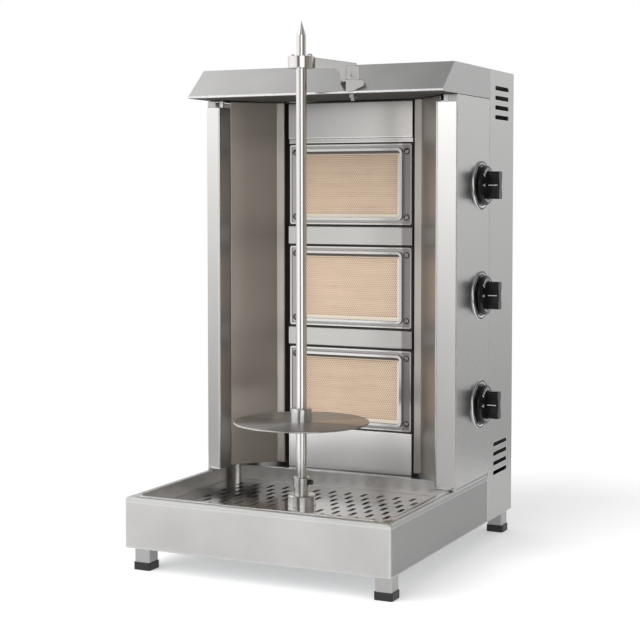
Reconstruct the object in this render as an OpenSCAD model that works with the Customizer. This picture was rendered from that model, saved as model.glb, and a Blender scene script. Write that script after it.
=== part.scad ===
// Vertical roasting grill with three gas burners, a turning spit and a drip tray.
// Millimetres. The front faces -Y and the knobs +X. The floor is at Z = 0, and the origin is the
// middle of the footprint. Inside the modules X = 0 is the middle of the cabinet and Y = 0 its front.

/* [Base] */
// Width of the base box and the cabinet
base_w = 500; // [470:5:560]
// Depth of the base box, up to the seam of the rear cover
base_d = 462; // [450:2:500]
// Height of the base box
base_h = 88; // [80:1:110]
// Depth of the rear cover behind the seam
rear_d = 138; // [110:1:170]
// Thickness of the sheet
sheet = 1.5; // [1.2:0.1:2.4]
// Radius of the rolled rim
rim_r = 4; // [3:0.5:6]
// Open seam between sheets that meet
seam = 1; // [0.6:0.1:1.5]
// Height of the upstand that carries the side panels
upstand_h = 6; // [5:0.5:8]
// Thickness of the upstand
upstand_t = 4; // [3:0.5:5]

/* [Legs] */
// Width of the square leg tube
leg_w = 30; // [25:1:36]
// Height of the base box above the floor
leg_h = 42; // [34:1:60]
// Wall of the leg tube
leg_wall = 2; // [1.5:0.1:3]
// Height of the foot cap
cap_h = 13; // [10:1:18]
// Wall of the foot cap
cap_wall = 1.2; // [0.8:0.1:2]
// Thickness of the foot cap under the tube
cap_floor = 5; // [3:0.5:7]
// Distance of the legs from the sides
leg_side_in = 7; // [5:1:20]
// Distance of the front legs from the front
leg_front_in = 20; // [8:1:40]
// Distance of the rear legs from the back
leg_rear_in = 4; // [4:1:20]

/* [Tray] */
// Width of the rim round the tray at the front and the sides
rim_w = 14; // [12:1:20]
// Depth of the shelf behind the tray
shelf_d = 100; // [90:1:110]
// Corner radius of the tray
well_r = 22; // [14:1:30]
// Depth of the drip pan below the rim
pan_depth = 44; // [38:1:50]
// Thickness of the pan and the slotted plate
pan_t = 1.5; // [1:0.1:2]
// Width of the pan's lip on the rim
pan_lip = 6; // [4:0.5:7]
// Width of the ledge that carries the slotted plate
ledge_w = 8; // [6:1:12]
// Depth of the slotted plate below the rim
plate_drop = 27; // [20:1:30]
// Gap between the pan and its opening
pan_gap = 0.6; // [0.4:0.1:1]
// Gap round the slotted plate
plate_gap = 1.5; // [1:0.1:3]
// Length of a drain slot
slot_l = 28; // [20:1:28]
// Width of a drain slot
slot_w = 8; // [5:0.5:9]
// Spacing of the slots across the plate
slot_pitch_x = 32; // [28:1:40]
// Spacing of the slot rows from front to back
slot_pitch_y = 31; // [31:1:40]

/* [Cabinet] */
// Height of the cabinet above the base box
cabinet_h = 753; // [740:5:850]
// Distance of the canopy's lower edge from the front
canopy_front = 218; // [214:1:226]
// Depth of the canopy's slanted face
canopy_run = 60; // [45:1:70]
// Height of the canopy's slanted face
canopy_drop = 55; // [45:1:65]
// Gap between the canopy's underside and the burner column
soffit_gap = 2; // [1:0.5:3]
// Distance of the wings' outer edges from the front
wing_y = 290; // [284:1:294]
// Width of a wing's face across the cabinet
wing_w = 33; // [26:1:36]
// Depth that the wing's face slants forward
wing_slant = 14; // [8:1:18]
// Depth of the wing's inner side behind its front corner
wing_depth = 32; // [28:1:34]
// Amount that the wing's inner side leans in
wing_lean = 5; // [2:1:8]
// Gap between a wing's top and the canopy
wing_top_gap = 14; // [10:1:20]
// Gap between a reflector and the shelf
reflector_gap = 8; // [6:1:14]
// Gap between the canopy and the tops of the reflectors and the column
column_gap = 2; // [1:0.5:5]
// Distance from the column to the reflectors' inner bend
reflector_side = 21; // [17:1:25]
// Distance of the reflectors' inner bend from the burner column
reflector_fwd = 12; // [9:1:16]
// Width of the reflector's flat strip beside the column
strip_w = 14; // [13:1:16]

/* [Burner column] */
// Amount that the burner column is wider than a burner frame
column_over = 4; // [2:0.5:6]
// Distance of the column from the seam
column_back = 69; // [66:1:72]
// Depth of the recess beside the column
recess_d = 8; // [6:0.5:8]
// Amount that bars and panels stand proud
panel_out = 6; // [4:0.5:8]
// Height of a bar between burners
bar_h = 35; // [28:1:36]
// Radius on the bars' long edges
bar_r = 2.5; // [1:0.5:3]
// Height of the narrow step under the top panel
step_h = 9; // [6:1:10]
// Gap above and below the panels
panel_gap = 2.5; // [2:0.5:4]

/* [Burners] */
// Height of the lowest burner's centre above the base box
burner_low = 157; // [152:1:170]
// Height of the space between two burner frames
bar_zone = 42; // [40:1:50]
// Width of a burner frame
frame_w = 250; // [246:1:250]
// Height of a burner frame
frame_h = 150; // [144:1:152]
// Width of a burner frame's border at its ends
border_x = 23; // [22:0.5:26]
// Width of a burner frame's border above and below its opening
border_z = 13; // [12:0.5:16]
// Corner radius of the opening
window_r = 5; // [3:1:8]
// Width of the raised lip round the opening
lip_w = 5; // [4:0.5:6]
// Height of the raised lip
lip_out = 7; // [5:0.5:9]
// Width of the frame's outer edge
edge_w = 3; // [2:0.5:4]
// Height of the frame's outer edge
edge_out = 4; // [3:0.5:5]
// Distance of the frame's screws from its ends
screw_in_x = 10.5; // [9:0.5:11]
// Distance of the frame's screws from its top and bottom
screw_in_z = 14; // [10:0.5:16]
// Diameter of the frame's screws
screw_d = 4; // [3:0.5:4.5]
// Diameter of the screws' heads
screw_head_d = 7; // [6:0.5:8]
// Thickness of a ceramic plate
ceramic_t = 13; // [11:1:15]
// Amount that a ceramic plate reaches behind its frame
ceramic_lap = 4; // [3:0.5:5]
// Gap round a ceramic plate
ceramic_gap = 1; // [0.6:0.1:1.5]
// Depth of a burner box behind the column
box_d = 52; // [44:1:54]
// Width of the flange round a burner box
box_flange = 13; // [12.5:0.5:13.5]
// Outer diameter of a mixing tube
tube_d = 24; // [20:1:24]
// Diameter of a mixing tube's mouth
mouth_d = 32; // [28:1:34]
// Distance of the mixing tubes' mouths from the side panel
mouth_in = 82; // [78:1:90]

/* [Gas] */
// Diameter of the gas pipe
pipe_d = 21.3; // [17:0.1:22]
// Wall of the gas pipe
pipe_wall = 2.6; // [2:0.1:3]
// Distance of the gas pipe from the side panel
pipe_in = 32; // [30:1:36]
// Height of the gas inlet above the base box's floor
inlet_up = 148; // [110:1:150]
// Length of the inlet outside the rear cover
inlet_out = 22; // [20:1:30]
// Thickness of the inlet's nut
nut_t = 6; // [5:0.5:8]
// Bend radius of the pipe
bend_r = 30; // [26:1:34]
// Diameter of a gas valve
valve_d = 26; // [22:1:27]
// Length of a gas valve
valve_l = 44; // [40:1:48]
// Diameter of a valve's threaded nose
nose_d = 16; // [14:0.5:18]
// Diameter of a valve's turning plug
plug_d = 12; // [11:0.5:12.5]
// Diameter of a valve's spindle
spindle_d = 8; // [6:0.5:8]

/* [Knobs] */
// Height of the lowest knob above the base box
knob_low = 139; // [135:1:150]
// Spacing of the knobs
knob_pitch = 200; // [190:1:210]
// Diameter of the round plate behind a knob
bezel_d = 90; // [80:1:92]
// Thickness of that plate
bezel_t = 3; // [2:0.5:4]
// Travel of a knob when it is pushed
push = 3; // [2:0.5:4]
// Diameter of a knob's skirt
skirt_d = 72; // [60:1:76]
// Thickness of a knob's skirt
skirt_t = 8; // [6:0.5:10]
// Length of a knob's grip
grip_l = 50; // [40:1:56]
// Thickness of a knob's grip
grip_w = 17; // [14:1:20]
// Height of a knob's grip above its skirt
grip_h = 23; // [18:1:28]
// Radius of the finger hollows beside the grip
hollow_r = 44; // [38:1:60]

/* [Spit] */
// Distance of the spit from the front
spit_y = 185; // [181:1:189]
// Diameter of the spit
spit_d = 19; // [17:0.5:20]
// Diameter of the spit's upper end
spit_top_d = 17; // [14:0.5:17]
// Length of the spit above the ring, with its point
spit_up = 62; // [50:1:80]
// Length of the spit's point
tip_l = 25; // [18:1:32]
// Depth of the spit in its socket
spit_in = 27; // [22:1:28]
// Diameter of the meat plate
meat_d = 240; // [200:5:260]
// Thickness of the meat plate
meat_t = 3; // [2:0.5:4]
// Height of the meat plate above the rim
meat_up = 120; // [80:1:200]
// Diameter of the meat plate's hub
hub_d = 38; // [32:1:44]
// Height of the meat plate's hub
hub_h = 23; // [18:1:30]
// Diameter of the hub's set screw and the thumb screw
set_d = 5; // [4:0.5:6]

/* [Drive] */
// Diameter of the fixed boss in the tray
boss_d = 50; // [46:1:56]
// Height of the fixed boss above the slotted plate
boss_up = 20; // [14:1:26]
// Diameter of the boss's foot on the pan
boss_foot_d = 72; // [64:1:90]
// Gap between the boss and the slotted plate
boss_gap = 1; // [0.6:0.1:2]
// Diameter of the socket's neck
neck_d = 25; // [24:0.5:28]
// Height of the socket's neck
neck_h = 14; // [10:1:18]
// Diameter of the socket's collar
collar_d = 30; // [29:0.5:34]
// Height of the socket's collar
collar_h = 17; // [15:1:22]
// Diameter of the drive shaft
shaft_d = 12; // [10:0.5:14]
// Diameter of the thumb screw's head
thumb_d = 9; // [8:0.5:12]
// Length of the thumb screw's head
thumb_l = 6; // [5:0.5:9]
// Width of the gearbox
gear_w = 76; // [66:1:90]
// Depth of the gearbox
gear_d = 64; // [56:1:80]
// Gap between the gearbox and the drip pan
gear_gap = 4; // [3:0.5:6]
// Length of the motor behind the gearbox
motor_l = 82; // [60:1:100]

/* [Top ring] */
// Diameter of the ring that holds the spit
ring_d = 47; // [45:0.5:50]
// Height of the ring
ring_h = 20; // [18:0.5:26]
// Height of the roof above the ring's lower edge
ring_low = 11; // [8:0.5:12]
// Gap between the ring and the spit
ring_gap = 0.4; // [0.3:0.05:0.6]
// Radius of the ring's knuckles
knuckle_r = 6; // [5:0.25:6]
// Height of the ring's outer knuckles
knuckle_h = 5; // [4:0.25:6]
// Gap between the ring's halves
split_gap = 0.4; // [0.3:0.05:0.6]
// Diameter of the ring's pins
pin_d = 4; // [3:0.5:5]
// Diameter of the pins' heads
pin_head_d = 10; // [8:0.5:11]
// Height of the pins' heads
pin_head_h = 5; // [3:0.5:5]
// Thickness of the arm
arm_t = 6; // [5:0.5:8]
// Sideways distance of the arm's bracket from the spit
bracket_x = 76; // [72:1:86]
// Distance of the bracket from the front edge of the canopy
bracket_in = 18; // [15:1:20]
// Height of the ring's lower edge above the bracket's plate
bracket_drop = 20; // [17:0.5:22]
// Amount that the arm's upper edge falls towards the bracket
arm_fall = 10; // [4:0.5:12]
// Length of the bracket's plate along the arm
bracket_l = 38; // [34:1:44]
// Width of the bracket's plate
bracket_w = 34; // [28:1:40]
// Thickness of the bracket's plate and cheeks
bracket_t = 3; // [2.5:0.5:4]
// Height of the bracket's cheeks
cheek_h = 26; // [22:1:28]
// Diameter of the bracket's hanging bolt
bolt_d = 8; // [6:0.5:8]
// Diameter of the bracket's cross bolt
cross_d = 6; // [5:0.5:6]

/* [Vents] */
// Length of a side vent
vent_l = 78; // [60:1:84]
// Height of a vent
vent_h = 8; // [6:0.5:9]
// Spacing of the vents
vent_pitch = 18; // [15:0.5:20]
// Number of vents in a group
vents = 4; // [2:1:5]
// Distance of the highest vent from the roof
vent_top = 33; // [28:1:45]
// Height of the lowest vent above the base box's floor
vent_low = 86; // [60:1:95]
// Length of a vent in the back
back_vent_l = 130; // [100:5:150]
// Distance of the cable gland from the side
gland_in = 70; // [60:5:100]
// Height of the cable gland above the base box's floor
gland_up = 38; // [30:1:44]
// Diameter of the cable gland's thread
gland_d = 16; // [12:1:20]

/* [Hidden] */
$fn = 48;

// Colours
steel = [0.78, 0.78, 0.77];
bright = [0.86, 0.86, 0.85];
grey = [0.55, 0.56, 0.57];
black = [0.07, 0.07, 0.08];
ceramic = [0.82, 0.70, 0.58];
brass = [0.75, 0.62, 0.32];

// Clearances
run = 0.05;
rest_gap = 0.3;
hole_gap = 0.3;

// Levels above the floor
z_base = leg_h;
z_rim = z_base + base_h;
z_roof = z_rim + cabinet_h;
z_lip = z_roof - canopy_drop;
z_foot = z_rim + upstand_h;
z_column = z_lip - column_gap;
z_plate = z_rim - plate_drop;
z_ledge = z_plate - pan_t;
z_pan = z_rim - pan_depth;
z_boss = z_plate + boss_up;
z_neck = z_boss + 2 * run;
z_collar = z_neck + neck_h;
z_socket = z_collar + collar_h;
z_set = z_collar + collar_h / 2;
z_spit = z_socket - spit_in;
z_meat = z_rim + meat_up;
z_hub = z_meat + meat_t;
z_ring = z_roof - ring_low;
z_ring_top = z_ring + ring_h;
z_tip = z_ring_top + spit_up;
z_bracket = z_ring - bracket_drop;

// Plan
half = base_w / 2;
total_d = base_d + rear_d;
well_w = base_w - 2 * rim_w;
well_back = base_d - shelf_d;
well_d = well_back - rim_w;
well_y = (well_back + rim_w) / 2;
column_y = base_d - column_back;
column_w = frame_w + column_over;
window_w = frame_w - 2 * border_x;
window_h = frame_h - 2 * border_z;
burner_pitch = frame_h + bar_zone;
reflector_in = column_w / 2 + reflector_side;
gland_x = half - gland_in;
side_in = half - sheet / 2;
wing_in = side_in - wing_w;
wing_back = wing_y - wing_slant + wing_depth;
panel_front = wing_y + sheet + seam;
panel_fold = 16;
bar_pitch = burner_pitch;
bezel_r = bezel_d / 2;
knob_y = base_d - bezel_r - seam;
knob_x = half + bezel_t + push + rest_gap;
reach = bezel_t + push + rest_gap + skirt_t + grip_h;

// The canopy's bend line and lower edge, as (Y, Z) along the middle of the sheet
bend_top = [canopy_front + canopy_run, z_roof - sheet / 2];
bend_low = [canopy_front + sheet / 2, z_lip + sheet / 2];
canopy_slope = atan2(bend_top.y - bend_low.y, bend_top.x - bend_low.x);

// The arm
bracket_y = canopy_front + bracket_in;
arm_run = norm([bracket_x, bracket_y - spit_y]);
arm_angle = atan2(bracket_y - spit_y, bracket_x);
cross_z = z_bracket + 10;

// The gas pipe and the burners
pipe_x = half - pipe_in;
pipe_y = knob_y + valve_d / 2 + pipe_d / 2 + 8;
inlet_z = z_base + inlet_up;
valve_x = side_in - valve_l - 4;
levels = ["bottom", "middle", "top"];

function burner_z(i) = z_rim + burner_low + i * burner_pitch;
function knob_z(i) = z_rim + knob_low + i * knob_pitch;

// Moves the cabinet's frame to the middle of the footprint
module placed() translate([-reach / 2, -(total_d + inlet_out) / 2, 0]) children();

// Rounded rectangle, centred, with true arcs
module rounded(w, d, r) {
    square([w - 2 * r, d], center = true);
    square([w, d - 2 * r], center = true);
    for (x = [-1, 1], y = [-1, 1]) translate([x * (w / 2 - r), y * (d / 2 - r)]) circle(r);
}

// Frame-shaped outline between two rounded rectangles
module border(w, d, r, inner_w, inner_d, inner_r) difference() {
    rounded(w, d, r);
    rounded(inner_w, inner_d, inner_r);
}

// Outline of a folded sheet that follows a path, round at its bends and ends
module fold(path, t = sheet) {
    for (i = [0 : len(path) - 2]) {
        way = path[i + 1] - path[i];
        translate(path[i]) rotate(atan2(way.y, way.x)) translate([0, -t / 2]) square([norm(way), t]);
    }
    for (p = path) translate(p) circle(d = t);
}

// Centre line of a folded sheet: each corner of the path becomes a bend in short steps
function bend_points(a, b, c, r, steps) = let (
    to_a = (a - b) / norm(a - b),
    to_c = (c - b) / norm(c - b),
    half_angle = acos(to_a * to_c) / 2,
    centre = b + (to_a + to_c) / norm(to_a + to_c) * r / sin(half_angle),
    spoke = b + to_a * r / tan(half_angle) - centre,
    turn = sign(to_a.y * to_c.x - to_a.x * to_c.y) * (180 - 2 * half_angle) / steps)
    [for (k = [0 : steps]) centre + [
        spoke.x * cos(k * turn) - spoke.y * sin(k * turn),
        spoke.x * sin(k * turn) + spoke.y * cos(k * turn)]];

function bent(path, r = 1.5 * sheet, steps = 4) = let (last = len(path) - 1) concat(
    [path[0]],
    [for (i = [1 : last - 1]) each bend_points(path[i - 1], path[i], path[i + 1], r, steps)],
    [path[last]]);

// A line beside a path at distance d, to its left if d is above 0
function beside(path, d) = let (last = len(path) - 1) [for (i = [0 : last]) let (
    a = i == 0 ? path[1] - path[0] : path[i] - path[i - 1],
    b = i == last ? path[i] - path[i - 1] : path[i + 1] - path[i],
    na = [-a.y, a.x] / norm(a),
    nb = [-b.y, b.x] / norm(b))
    path[i] + (na + nb) * d / (1 + na * nb)];

function backwards(path) = [for (i = [len(path) - 1 : -1 : 0]) path[i]];

// Outline of a sheet folded along a slanted path, with square ends
module bent_sheet(path, t = sheet)
    polygon(concat(beside(bent(path), t / 2), backwards(beside(bent(path), -t / 2))));

// Extrudes an outline drawn as (Y, Z) along X, centred
module across(w) rotate([90, 0, 90]) linear_extrude(w, center = true) children();

// Extrudes an outline drawn as (X, Z) towards the front
module forward(t) rotate([90, 0, 0]) linear_extrude(t) children();

// Turns a shape made along Z to point along +X
module along_x() rotate([0, 90, 0]) children();

// Draws on the right side, or mirrored on the left
module on_side(side) mirror([side < 0 ? 1 : 0, 0, 0]) children();

// Hexagonal nut or head, across its flats
module hex(flats, h) cylinder(d = flats / cos(30), h = h, $fn = 6);

// Plan of the base box: front corners round, back square
module base_plan(inset) {
    w = base_w - 2 * inset;
    r = max(rim_r - inset, 0.5);
    translate([-w / 2, inset + r]) square([w, base_d - inset - r]);
    translate([r - w / 2, inset]) square([w - 2 * r, r]);
    for (x = [-1, 1]) translate([x * (w / 2 - r), inset + r]) circle(r);
}

module base_housing() color(steel) placed() {
    bead_z = z_rim - rim_r;
    bead_x = half - rim_r;
    translate([0, 0, z_base]) linear_extrude(base_h - rim_r) difference() {
        base_plan(0);
        base_plan(sheet);
        translate([sheet - half, sheet + rim_r]) square([base_w - 2 * sheet, base_d]);
    }
    // rolled rim along the front and the sides
    translate([0, rim_r, bead_z]) along_x() cylinder(r = rim_r, h = 2 * bead_x, center = true);
    for (side = [-1, 1]) translate([side * bead_x, rim_r, bead_z]) {
        sphere(rim_r);
        rotate([-90, 0, 0]) cylinder(r = rim_r, h = base_d - rim_r);
    }
    // deck with the opening of the tray
    translate([0, 0, z_rim - sheet]) linear_extrude(sheet) difference() {
        translate([-bead_x, rim_r]) square([2 * bead_x, base_d - rim_r]);
        translate([0, well_y]) rounded(well_w, well_d, well_r);
    }
    // deck's fold at the seam, and the upstands under the side panels
    translate([-bead_x, base_d - sheet, z_rim - 15]) cube([2 * bead_x, sheet, 15 - sheet / 2]);
    for (side = [-1, 1]) on_side(side)
        translate([half - 1 - upstand_t, wing_y + sheet, z_rim - sheet])
            cube([upstand_t, base_d - seam - wing_y - sheet, upstand_h + sheet]);
}

module base_floor() color(grey) placed() {
    edge = sheet + seam / 2;
    w = base_w - 2 * edge;
    d = total_d - 2 * edge;
    flange_h = 14;
    translate([0, 0, z_base]) {
        linear_extrude(sheet) difference() {
            translate([-w / 2, edge]) square([w, d]);
            // air slots under the burners
            for (i = [-2 : 2]) translate([i * 70, base_d + 30]) rounded(50, 8, 3.9);
        }
        for (side = [-1, 1]) on_side(side)
            translate([w / 2 - sheet, edge, 0]) cube([sheet, d, flange_h]);
        translate([-w / 2, edge, 0]) cube([w, sheet, flange_h]);
    }
}

module leg(x, y) color(steel) placed()
    translate([x, y, cap_floor]) linear_extrude(leg_h - cap_floor)
        border(leg_w, leg_w, 3, leg_w - 2 * leg_wall, leg_w - 2 * leg_wall, 1);

leg_x = half - leg_side_in - leg_w / 2;
leg_front_y = leg_front_in + leg_w / 2;
leg_rear_y = total_d - leg_rear_in - leg_w / 2;

module foot_caps() color(black) placed()
    for (x = [-leg_x, leg_x], y = [leg_front_y, leg_rear_y]) translate([x, y, 0]) {
        outer = leg_w + 2 * (hole_gap + cap_wall);
        linear_extrude(cap_floor) rounded(outer, outer, 3.5);
        translate([0, 0, cap_floor]) linear_extrude(cap_h - cap_floor)
            border(outer, outer, 3.5, outer - 2 * cap_wall, outer - 2 * cap_wall, 3.2);
    }

module drip_pan() color(bright) placed() translate([0, well_y, 0]) {
    w = well_w - 2 * pan_gap;
    d = well_d - 2 * pan_gap;
    r = well_r - pan_gap;
    in_w = w - 2 * pan_t;
    in_d = d - 2 * pan_t;
    in_r = r - pan_t;
    translate([0, 0, z_rim]) linear_extrude(pan_t)
        border(well_w + 2 * pan_lip, well_d + 2 * pan_lip, well_r + pan_lip, in_w, in_d, in_r);
    translate([0, 0, z_pan]) linear_extrude(pan_depth + pan_t / 2) border(w, d, r, in_w, in_d, in_r);
    translate([0, 0, z_ledge - pan_t]) linear_extrude(pan_t)
        border(w - pan_t, d - pan_t, r - 1, w - 2 * ledge_w, d - 2 * ledge_w, r - ledge_w);
    translate([0, 0, z_pan]) linear_extrude(pan_t) difference() {
        rounded(w - pan_t, d - pan_t, r - 1);
        translate([0, spit_y - well_y]) circle(d = shaft_d + 4);
    }
}

module perforated_plate() color(bright) placed() translate([0, well_y, z_ledge]) {
    inset = pan_gap + pan_t + plate_gap;
    w = well_w - 2 * inset;
    d = well_d - 2 * inset;
    margin = 16;
    rows = floor((d / 2 - margin - slot_l / 2) / slot_pitch_y);
    columns = floor((w / 2 - margin) / slot_pitch_x);
    hole = boss_d + 2 * boss_gap;
    keep = hole / 2 + 5;
    linear_extrude(pan_t) difference() {
        rounded(w, d, well_r - inset);
        translate([0, spit_y - well_y]) circle(d = hole);
        for (row = [-rows : rows], column = [-columns : columns]) {
            shift = abs(row) % 2 == 1 ? slot_pitch_x / 2 : 0;
            x = column * slot_pitch_x + shift;
            y = row * slot_pitch_y;
            off = [abs(x), max(abs(y - spit_y + well_y) - slot_l / 2, 0)];
            if (norm(off) > keep + slot_w / 2 && abs(x) < w / 2 - margin)
                translate([x, y]) fold([[0, slot_w / 2 - slot_l / 2], [0, slot_l / 2 - slot_w / 2]], slot_w);
        }
    }
}

gear_h = base_h - pan_depth - sheet - gear_gap;

module gear_motor() color(grey) placed() translate([0, spit_y, z_base + sheet]) {
    can_d = gear_h - 4;
    difference() {
        union() {
            linear_extrude(gear_h) rounded(gear_w, gear_d, 6);
            translate([0, gear_d / 2 - 1, gear_h / 2]) rotate([-90, 0, 0]) {
                cylinder(d = can_d, h = motor_l + 1);
                cylinder(d = can_d + 3, h = 9);
                translate([0, 0, motor_l - 6]) cylinder(d = can_d + 1.6, h = 5);
            }
        }
        translate([0, 0, 5]) cylinder(d = shaft_d + 2 * run, h = gear_h);
        // cooling grooves round the gearbox
        for (z = [10 : 7 : gear_h - 8]) translate([0, 0, z]) linear_extrude(2.5)
            border(gear_w + 2, gear_d + 2, 6, gear_w - 5, gear_d - 5, 4);
    }
}

module bearing_boss() color(bright) placed() translate([0, spit_y, 0]) {
    low = z_pan + pan_t;
    bore = shaft_d / 2 + run;
    r = boss_d / 2;
    rotate_extrude() polygon([
        [bore, low], [boss_foot_d / 2, low], [boss_foot_d / 2, low + 4], [r, low + 4],
        [r, z_boss - 1.5], [r - 1.5, z_boss], [bore, z_boss]]);
}

module drive_socket() color(bright) placed() translate([0, spit_y, 0]) difference() {
    shaft = shaft_d / 2;
    neck = neck_d / 2;
    collar = collar_d / 2;
    bore = spit_d / 2 + run;
    rotate_extrude() polygon([
        [0, z_base + sheet + 5 + rest_gap], [shaft, z_base + sheet + 5 + rest_gap],
        [shaft, z_neck], [neck, z_neck], [neck, z_collar - 1], [collar, z_collar],
        [collar, z_collar + 4], [collar - 0.8, z_collar + 4.6], [collar - 0.8, z_collar + 5.4],
        [collar, z_collar + 6], [collar, z_socket - 1], [collar - 1, z_socket],
        [bore + 0.8, z_socket], [bore, z_socket - 0.8], [bore, z_spit], [0, z_spit]]);
    translate([bore - 1, 0, z_set]) along_x() cylinder(d = set_d + 2 * run, h = collar);
}

module thumb_screw() color(black) placed() translate([0, spit_y, z_set]) along_x() {
    tip = spit_d / 2 + rest_gap;
    head = collar_d / 2 + rest_gap;
    translate([0, 0, tip]) cylinder(d = set_d, h = head - tip + 1);
    translate([0, 0, head]) difference() {
        cylinder(d = thumb_d, h = thumb_l);
        for (a = [0 : 30 : 330]) rotate(a) translate([thumb_d / 2 + 0.3, 0, 1])
            cylinder(r = 0.8, h = thumb_l, $fn = 16);
    }
}

module spit() color(bright) placed() translate([0, spit_y, 0]) {
    r = spit_d / 2;
    top = spit_top_d / 2;
    shoulder = z_ring_top + 1;
    rotate_extrude() polygon([
        [0, z_spit], [r - 1, z_spit], [r, z_spit + 1], [r, shoulder], [top, shoulder + r - top],
        [top, z_tip - tip_l], [0.8, z_tip - 0.8], [0, z_tip]]);
}

module meat_disc() color(bright) placed() translate([0, spit_y, z_meat]) rotate_extrude() {
    r = meat_d / 2;
    bore = spit_d / 2 + run;
    translate([bore, 0]) square([r - meat_t / 2 - bore, meat_t]);
    translate([r - meat_t / 2, meat_t / 2]) circle(d = meat_t);
}

module disc_hub() color(bright) placed() translate([0, spit_y, z_hub]) difference() {
    r = hub_d / 2;
    bore = spit_d / 2 + run;
    rotate_extrude() polygon([
        [bore, 0], [r, 0], [r, hub_h - 1.5], [r - 1.5, hub_h], [bore + 1, hub_h],
        [bore, hub_h - 1]]);
    translate([0, bore - 1, hub_h / 2]) rotate([-90, 0, 0]) cylinder(d = set_d + 2 * run, h = r);
}

module disc_set_screw() color(grey) placed() translate([0, spit_y, z_hub + hub_h / 2])
    rotate([-90, 0, 0]) {
        tip = spit_d / 2 + rest_gap;
        l = hub_d / 2 - tip - 0.5;
        translate([0, 0, tip]) difference() {
            cylinder(d = set_d, h = l);
            translate([0, 0, l - 3]) hex(set_d / 2, 4);
        }
    }

// Ring cut in halves, seen from above: the arm holds the rear half, the gate is the front half
pin_x = (ring_d / 2 + spit_d / 2 + ring_gap) / 2;
z_tongue = z_ring + knuckle_h;
tongue_h = ring_h - 2 * knuckle_h;

module half_ring(side) intersection() {
    difference() {
        cylinder(d = ring_d, h = ring_h);
        translate([0, 0, -1]) cylinder(d = spit_d + 2 * ring_gap, h = ring_h + 2);
    }
    translate([-ring_d, side > 0 ? split_gap / 2 : -ring_d - split_gap / 2, 0])
        cube([2 * ring_d, ring_d, ring_h]);
}

// Room beside the hinge pin that both halves of the ring leave free, so that the gate can turn
module hinge_relief() translate([-pin_x, 0, -1]) difference() {
    linear_extrude(ring_h + 2) polygon([[0, 0], [-ring_d / 4, ring_d / 2], [-ring_d, ring_d / 2],
        [-ring_d, -ring_d / 2], [-ring_d / 4, -ring_d / 2]]);
    translate([0, 0, -1]) cylinder(r = knuckle_r - 0.01, h = ring_h + 4);
}

// Outer knuckles, above and below, grown by a gap where they are cut out of the other half
module outer_knuckles(grow) for (x = [-pin_x, pin_x], z = [0, ring_h - knuckle_h])
    translate([x, 0, z]) cylinder(r = knuckle_r + grow, h = knuckle_h);

module middle_knuckles(grow) for (x = [-pin_x, pin_x])
    translate([x, 0, knuckle_h - grow / 2 + split_gap / 2])
        cylinder(r = knuckle_r + grow, h = tongue_h - split_gap + grow);

module arm_side() {
    // flat bar on edge that deepens towards the bracket in a round sweep
    start = spit_d / 2 + 5;
    end = arm_run + 6;
    deep = arm_run - 22;
    sweep_r = bracket_drop * 0.8;
    polygon([[start, 0], [start, ring_h], [end, ring_h - arm_fall], [end, -bracket_drop],
        [deep, -bracket_drop], [deep, 0]]);
    translate([deep - sweep_r, -sweep_r]) difference() {
        square(sweep_r + 0.01);
        circle(sweep_r);
    }
}

module top_arm() color(bright) placed() translate([0, spit_y, z_ring]) difference() {
    union() {
        difference() {
            half_ring(1);
            middle_knuckles(split_gap);
            hinge_relief();
        }
        outer_knuckles(0);
        rotate(arm_angle) translate([0, arm_t / 2, 0]) forward(arm_t) arm_side();
    }
    for (x = [-pin_x, pin_x]) translate([x, 0, -1]) cylinder(d = pin_d + 2 * run, h = ring_h + 2);
    rotate(arm_angle) translate([arm_run, 0, cross_z - z_ring]) rotate([90, 0, 0])
        cylinder(d = cross_d + hole_gap, h = 2 * arm_t, center = true);
}

module ring_gate() color(bright) placed() translate([0, spit_y, z_ring]) difference() {
    union() {
        difference() {
            half_ring(-1);
            hinge_relief();
            translate([0, 0, -1]) outer_knuckles(split_gap);
            translate([0, 0, 1]) outer_knuckles(split_gap);
            outer_knuckles(split_gap);
        }
        middle_knuckles(0);
    }
    translate([-pin_x, 0, -1]) cylinder(d = pin_d + 2 * run, h = ring_h + 2);
}

module ring_pins() color(bright) placed() translate([0, spit_y, z_ring]) {
    for (x = [-pin_x, pin_x]) translate([x, 0, ring_h]) intersection() {
        cylinder(d = pin_head_d, h = pin_head_h);
        translate([0, 0, pin_head_h - 0.6 * pin_head_d]) sphere(0.6 * pin_head_d);
    }
    translate([-pin_x, 0, 0]) cylinder(d = pin_d, h = ring_h + 1);
    translate([pin_x, 0, ring_h - knuckle_h]) cylinder(d = pin_d, h = knuckle_h + 1);
}

// Everything behind the canopy's slanted face
module behind_canopy() translate([0, bend_low.x, bend_low.y]) rotate([canopy_slope, 0, 0])
    translate([-half, -80, sheet / 2 - 150]) cube([base_w, 250, 150]);

module at_bracket(z) translate([0, spit_y, z]) rotate(arm_angle) translate([arm_run, 0, 0])
    children();

module arm_bracket() color(bright) placed() difference() {
    rib_h = z_bracket - bracket_t - z_lip - 3;
    at_bracket(z_bracket - bracket_t) {
        translate([-bracket_l / 2 - 2, -bracket_w / 2, 0]) cube([bracket_l, bracket_w, bracket_t]);
        for (side = [-1, 1]) {
            // cheeks on both sides of the arm, and ribs under the plate
            translate([-12, side * (arm_t / 2 + hole_gap + bracket_t / 2), bracket_t - 0.5])
                rotate([90, 0, 0]) linear_extrude(bracket_t, center = true) difference() {
                    translate([11, cheek_h / 2]) rounded(24, cheek_h, 4);
                    translate([12, 10.5]) circle(d = cross_d + hole_gap);
                }
            translate([-bracket_l / 2 + 4, side * (bracket_w / 2 - bracket_t) - bracket_t / 2, -rib_h])
                cube([bracket_l - 6, bracket_t, rib_h + 0.5]);
        }
    }
    behind_canopy();
}

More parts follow.
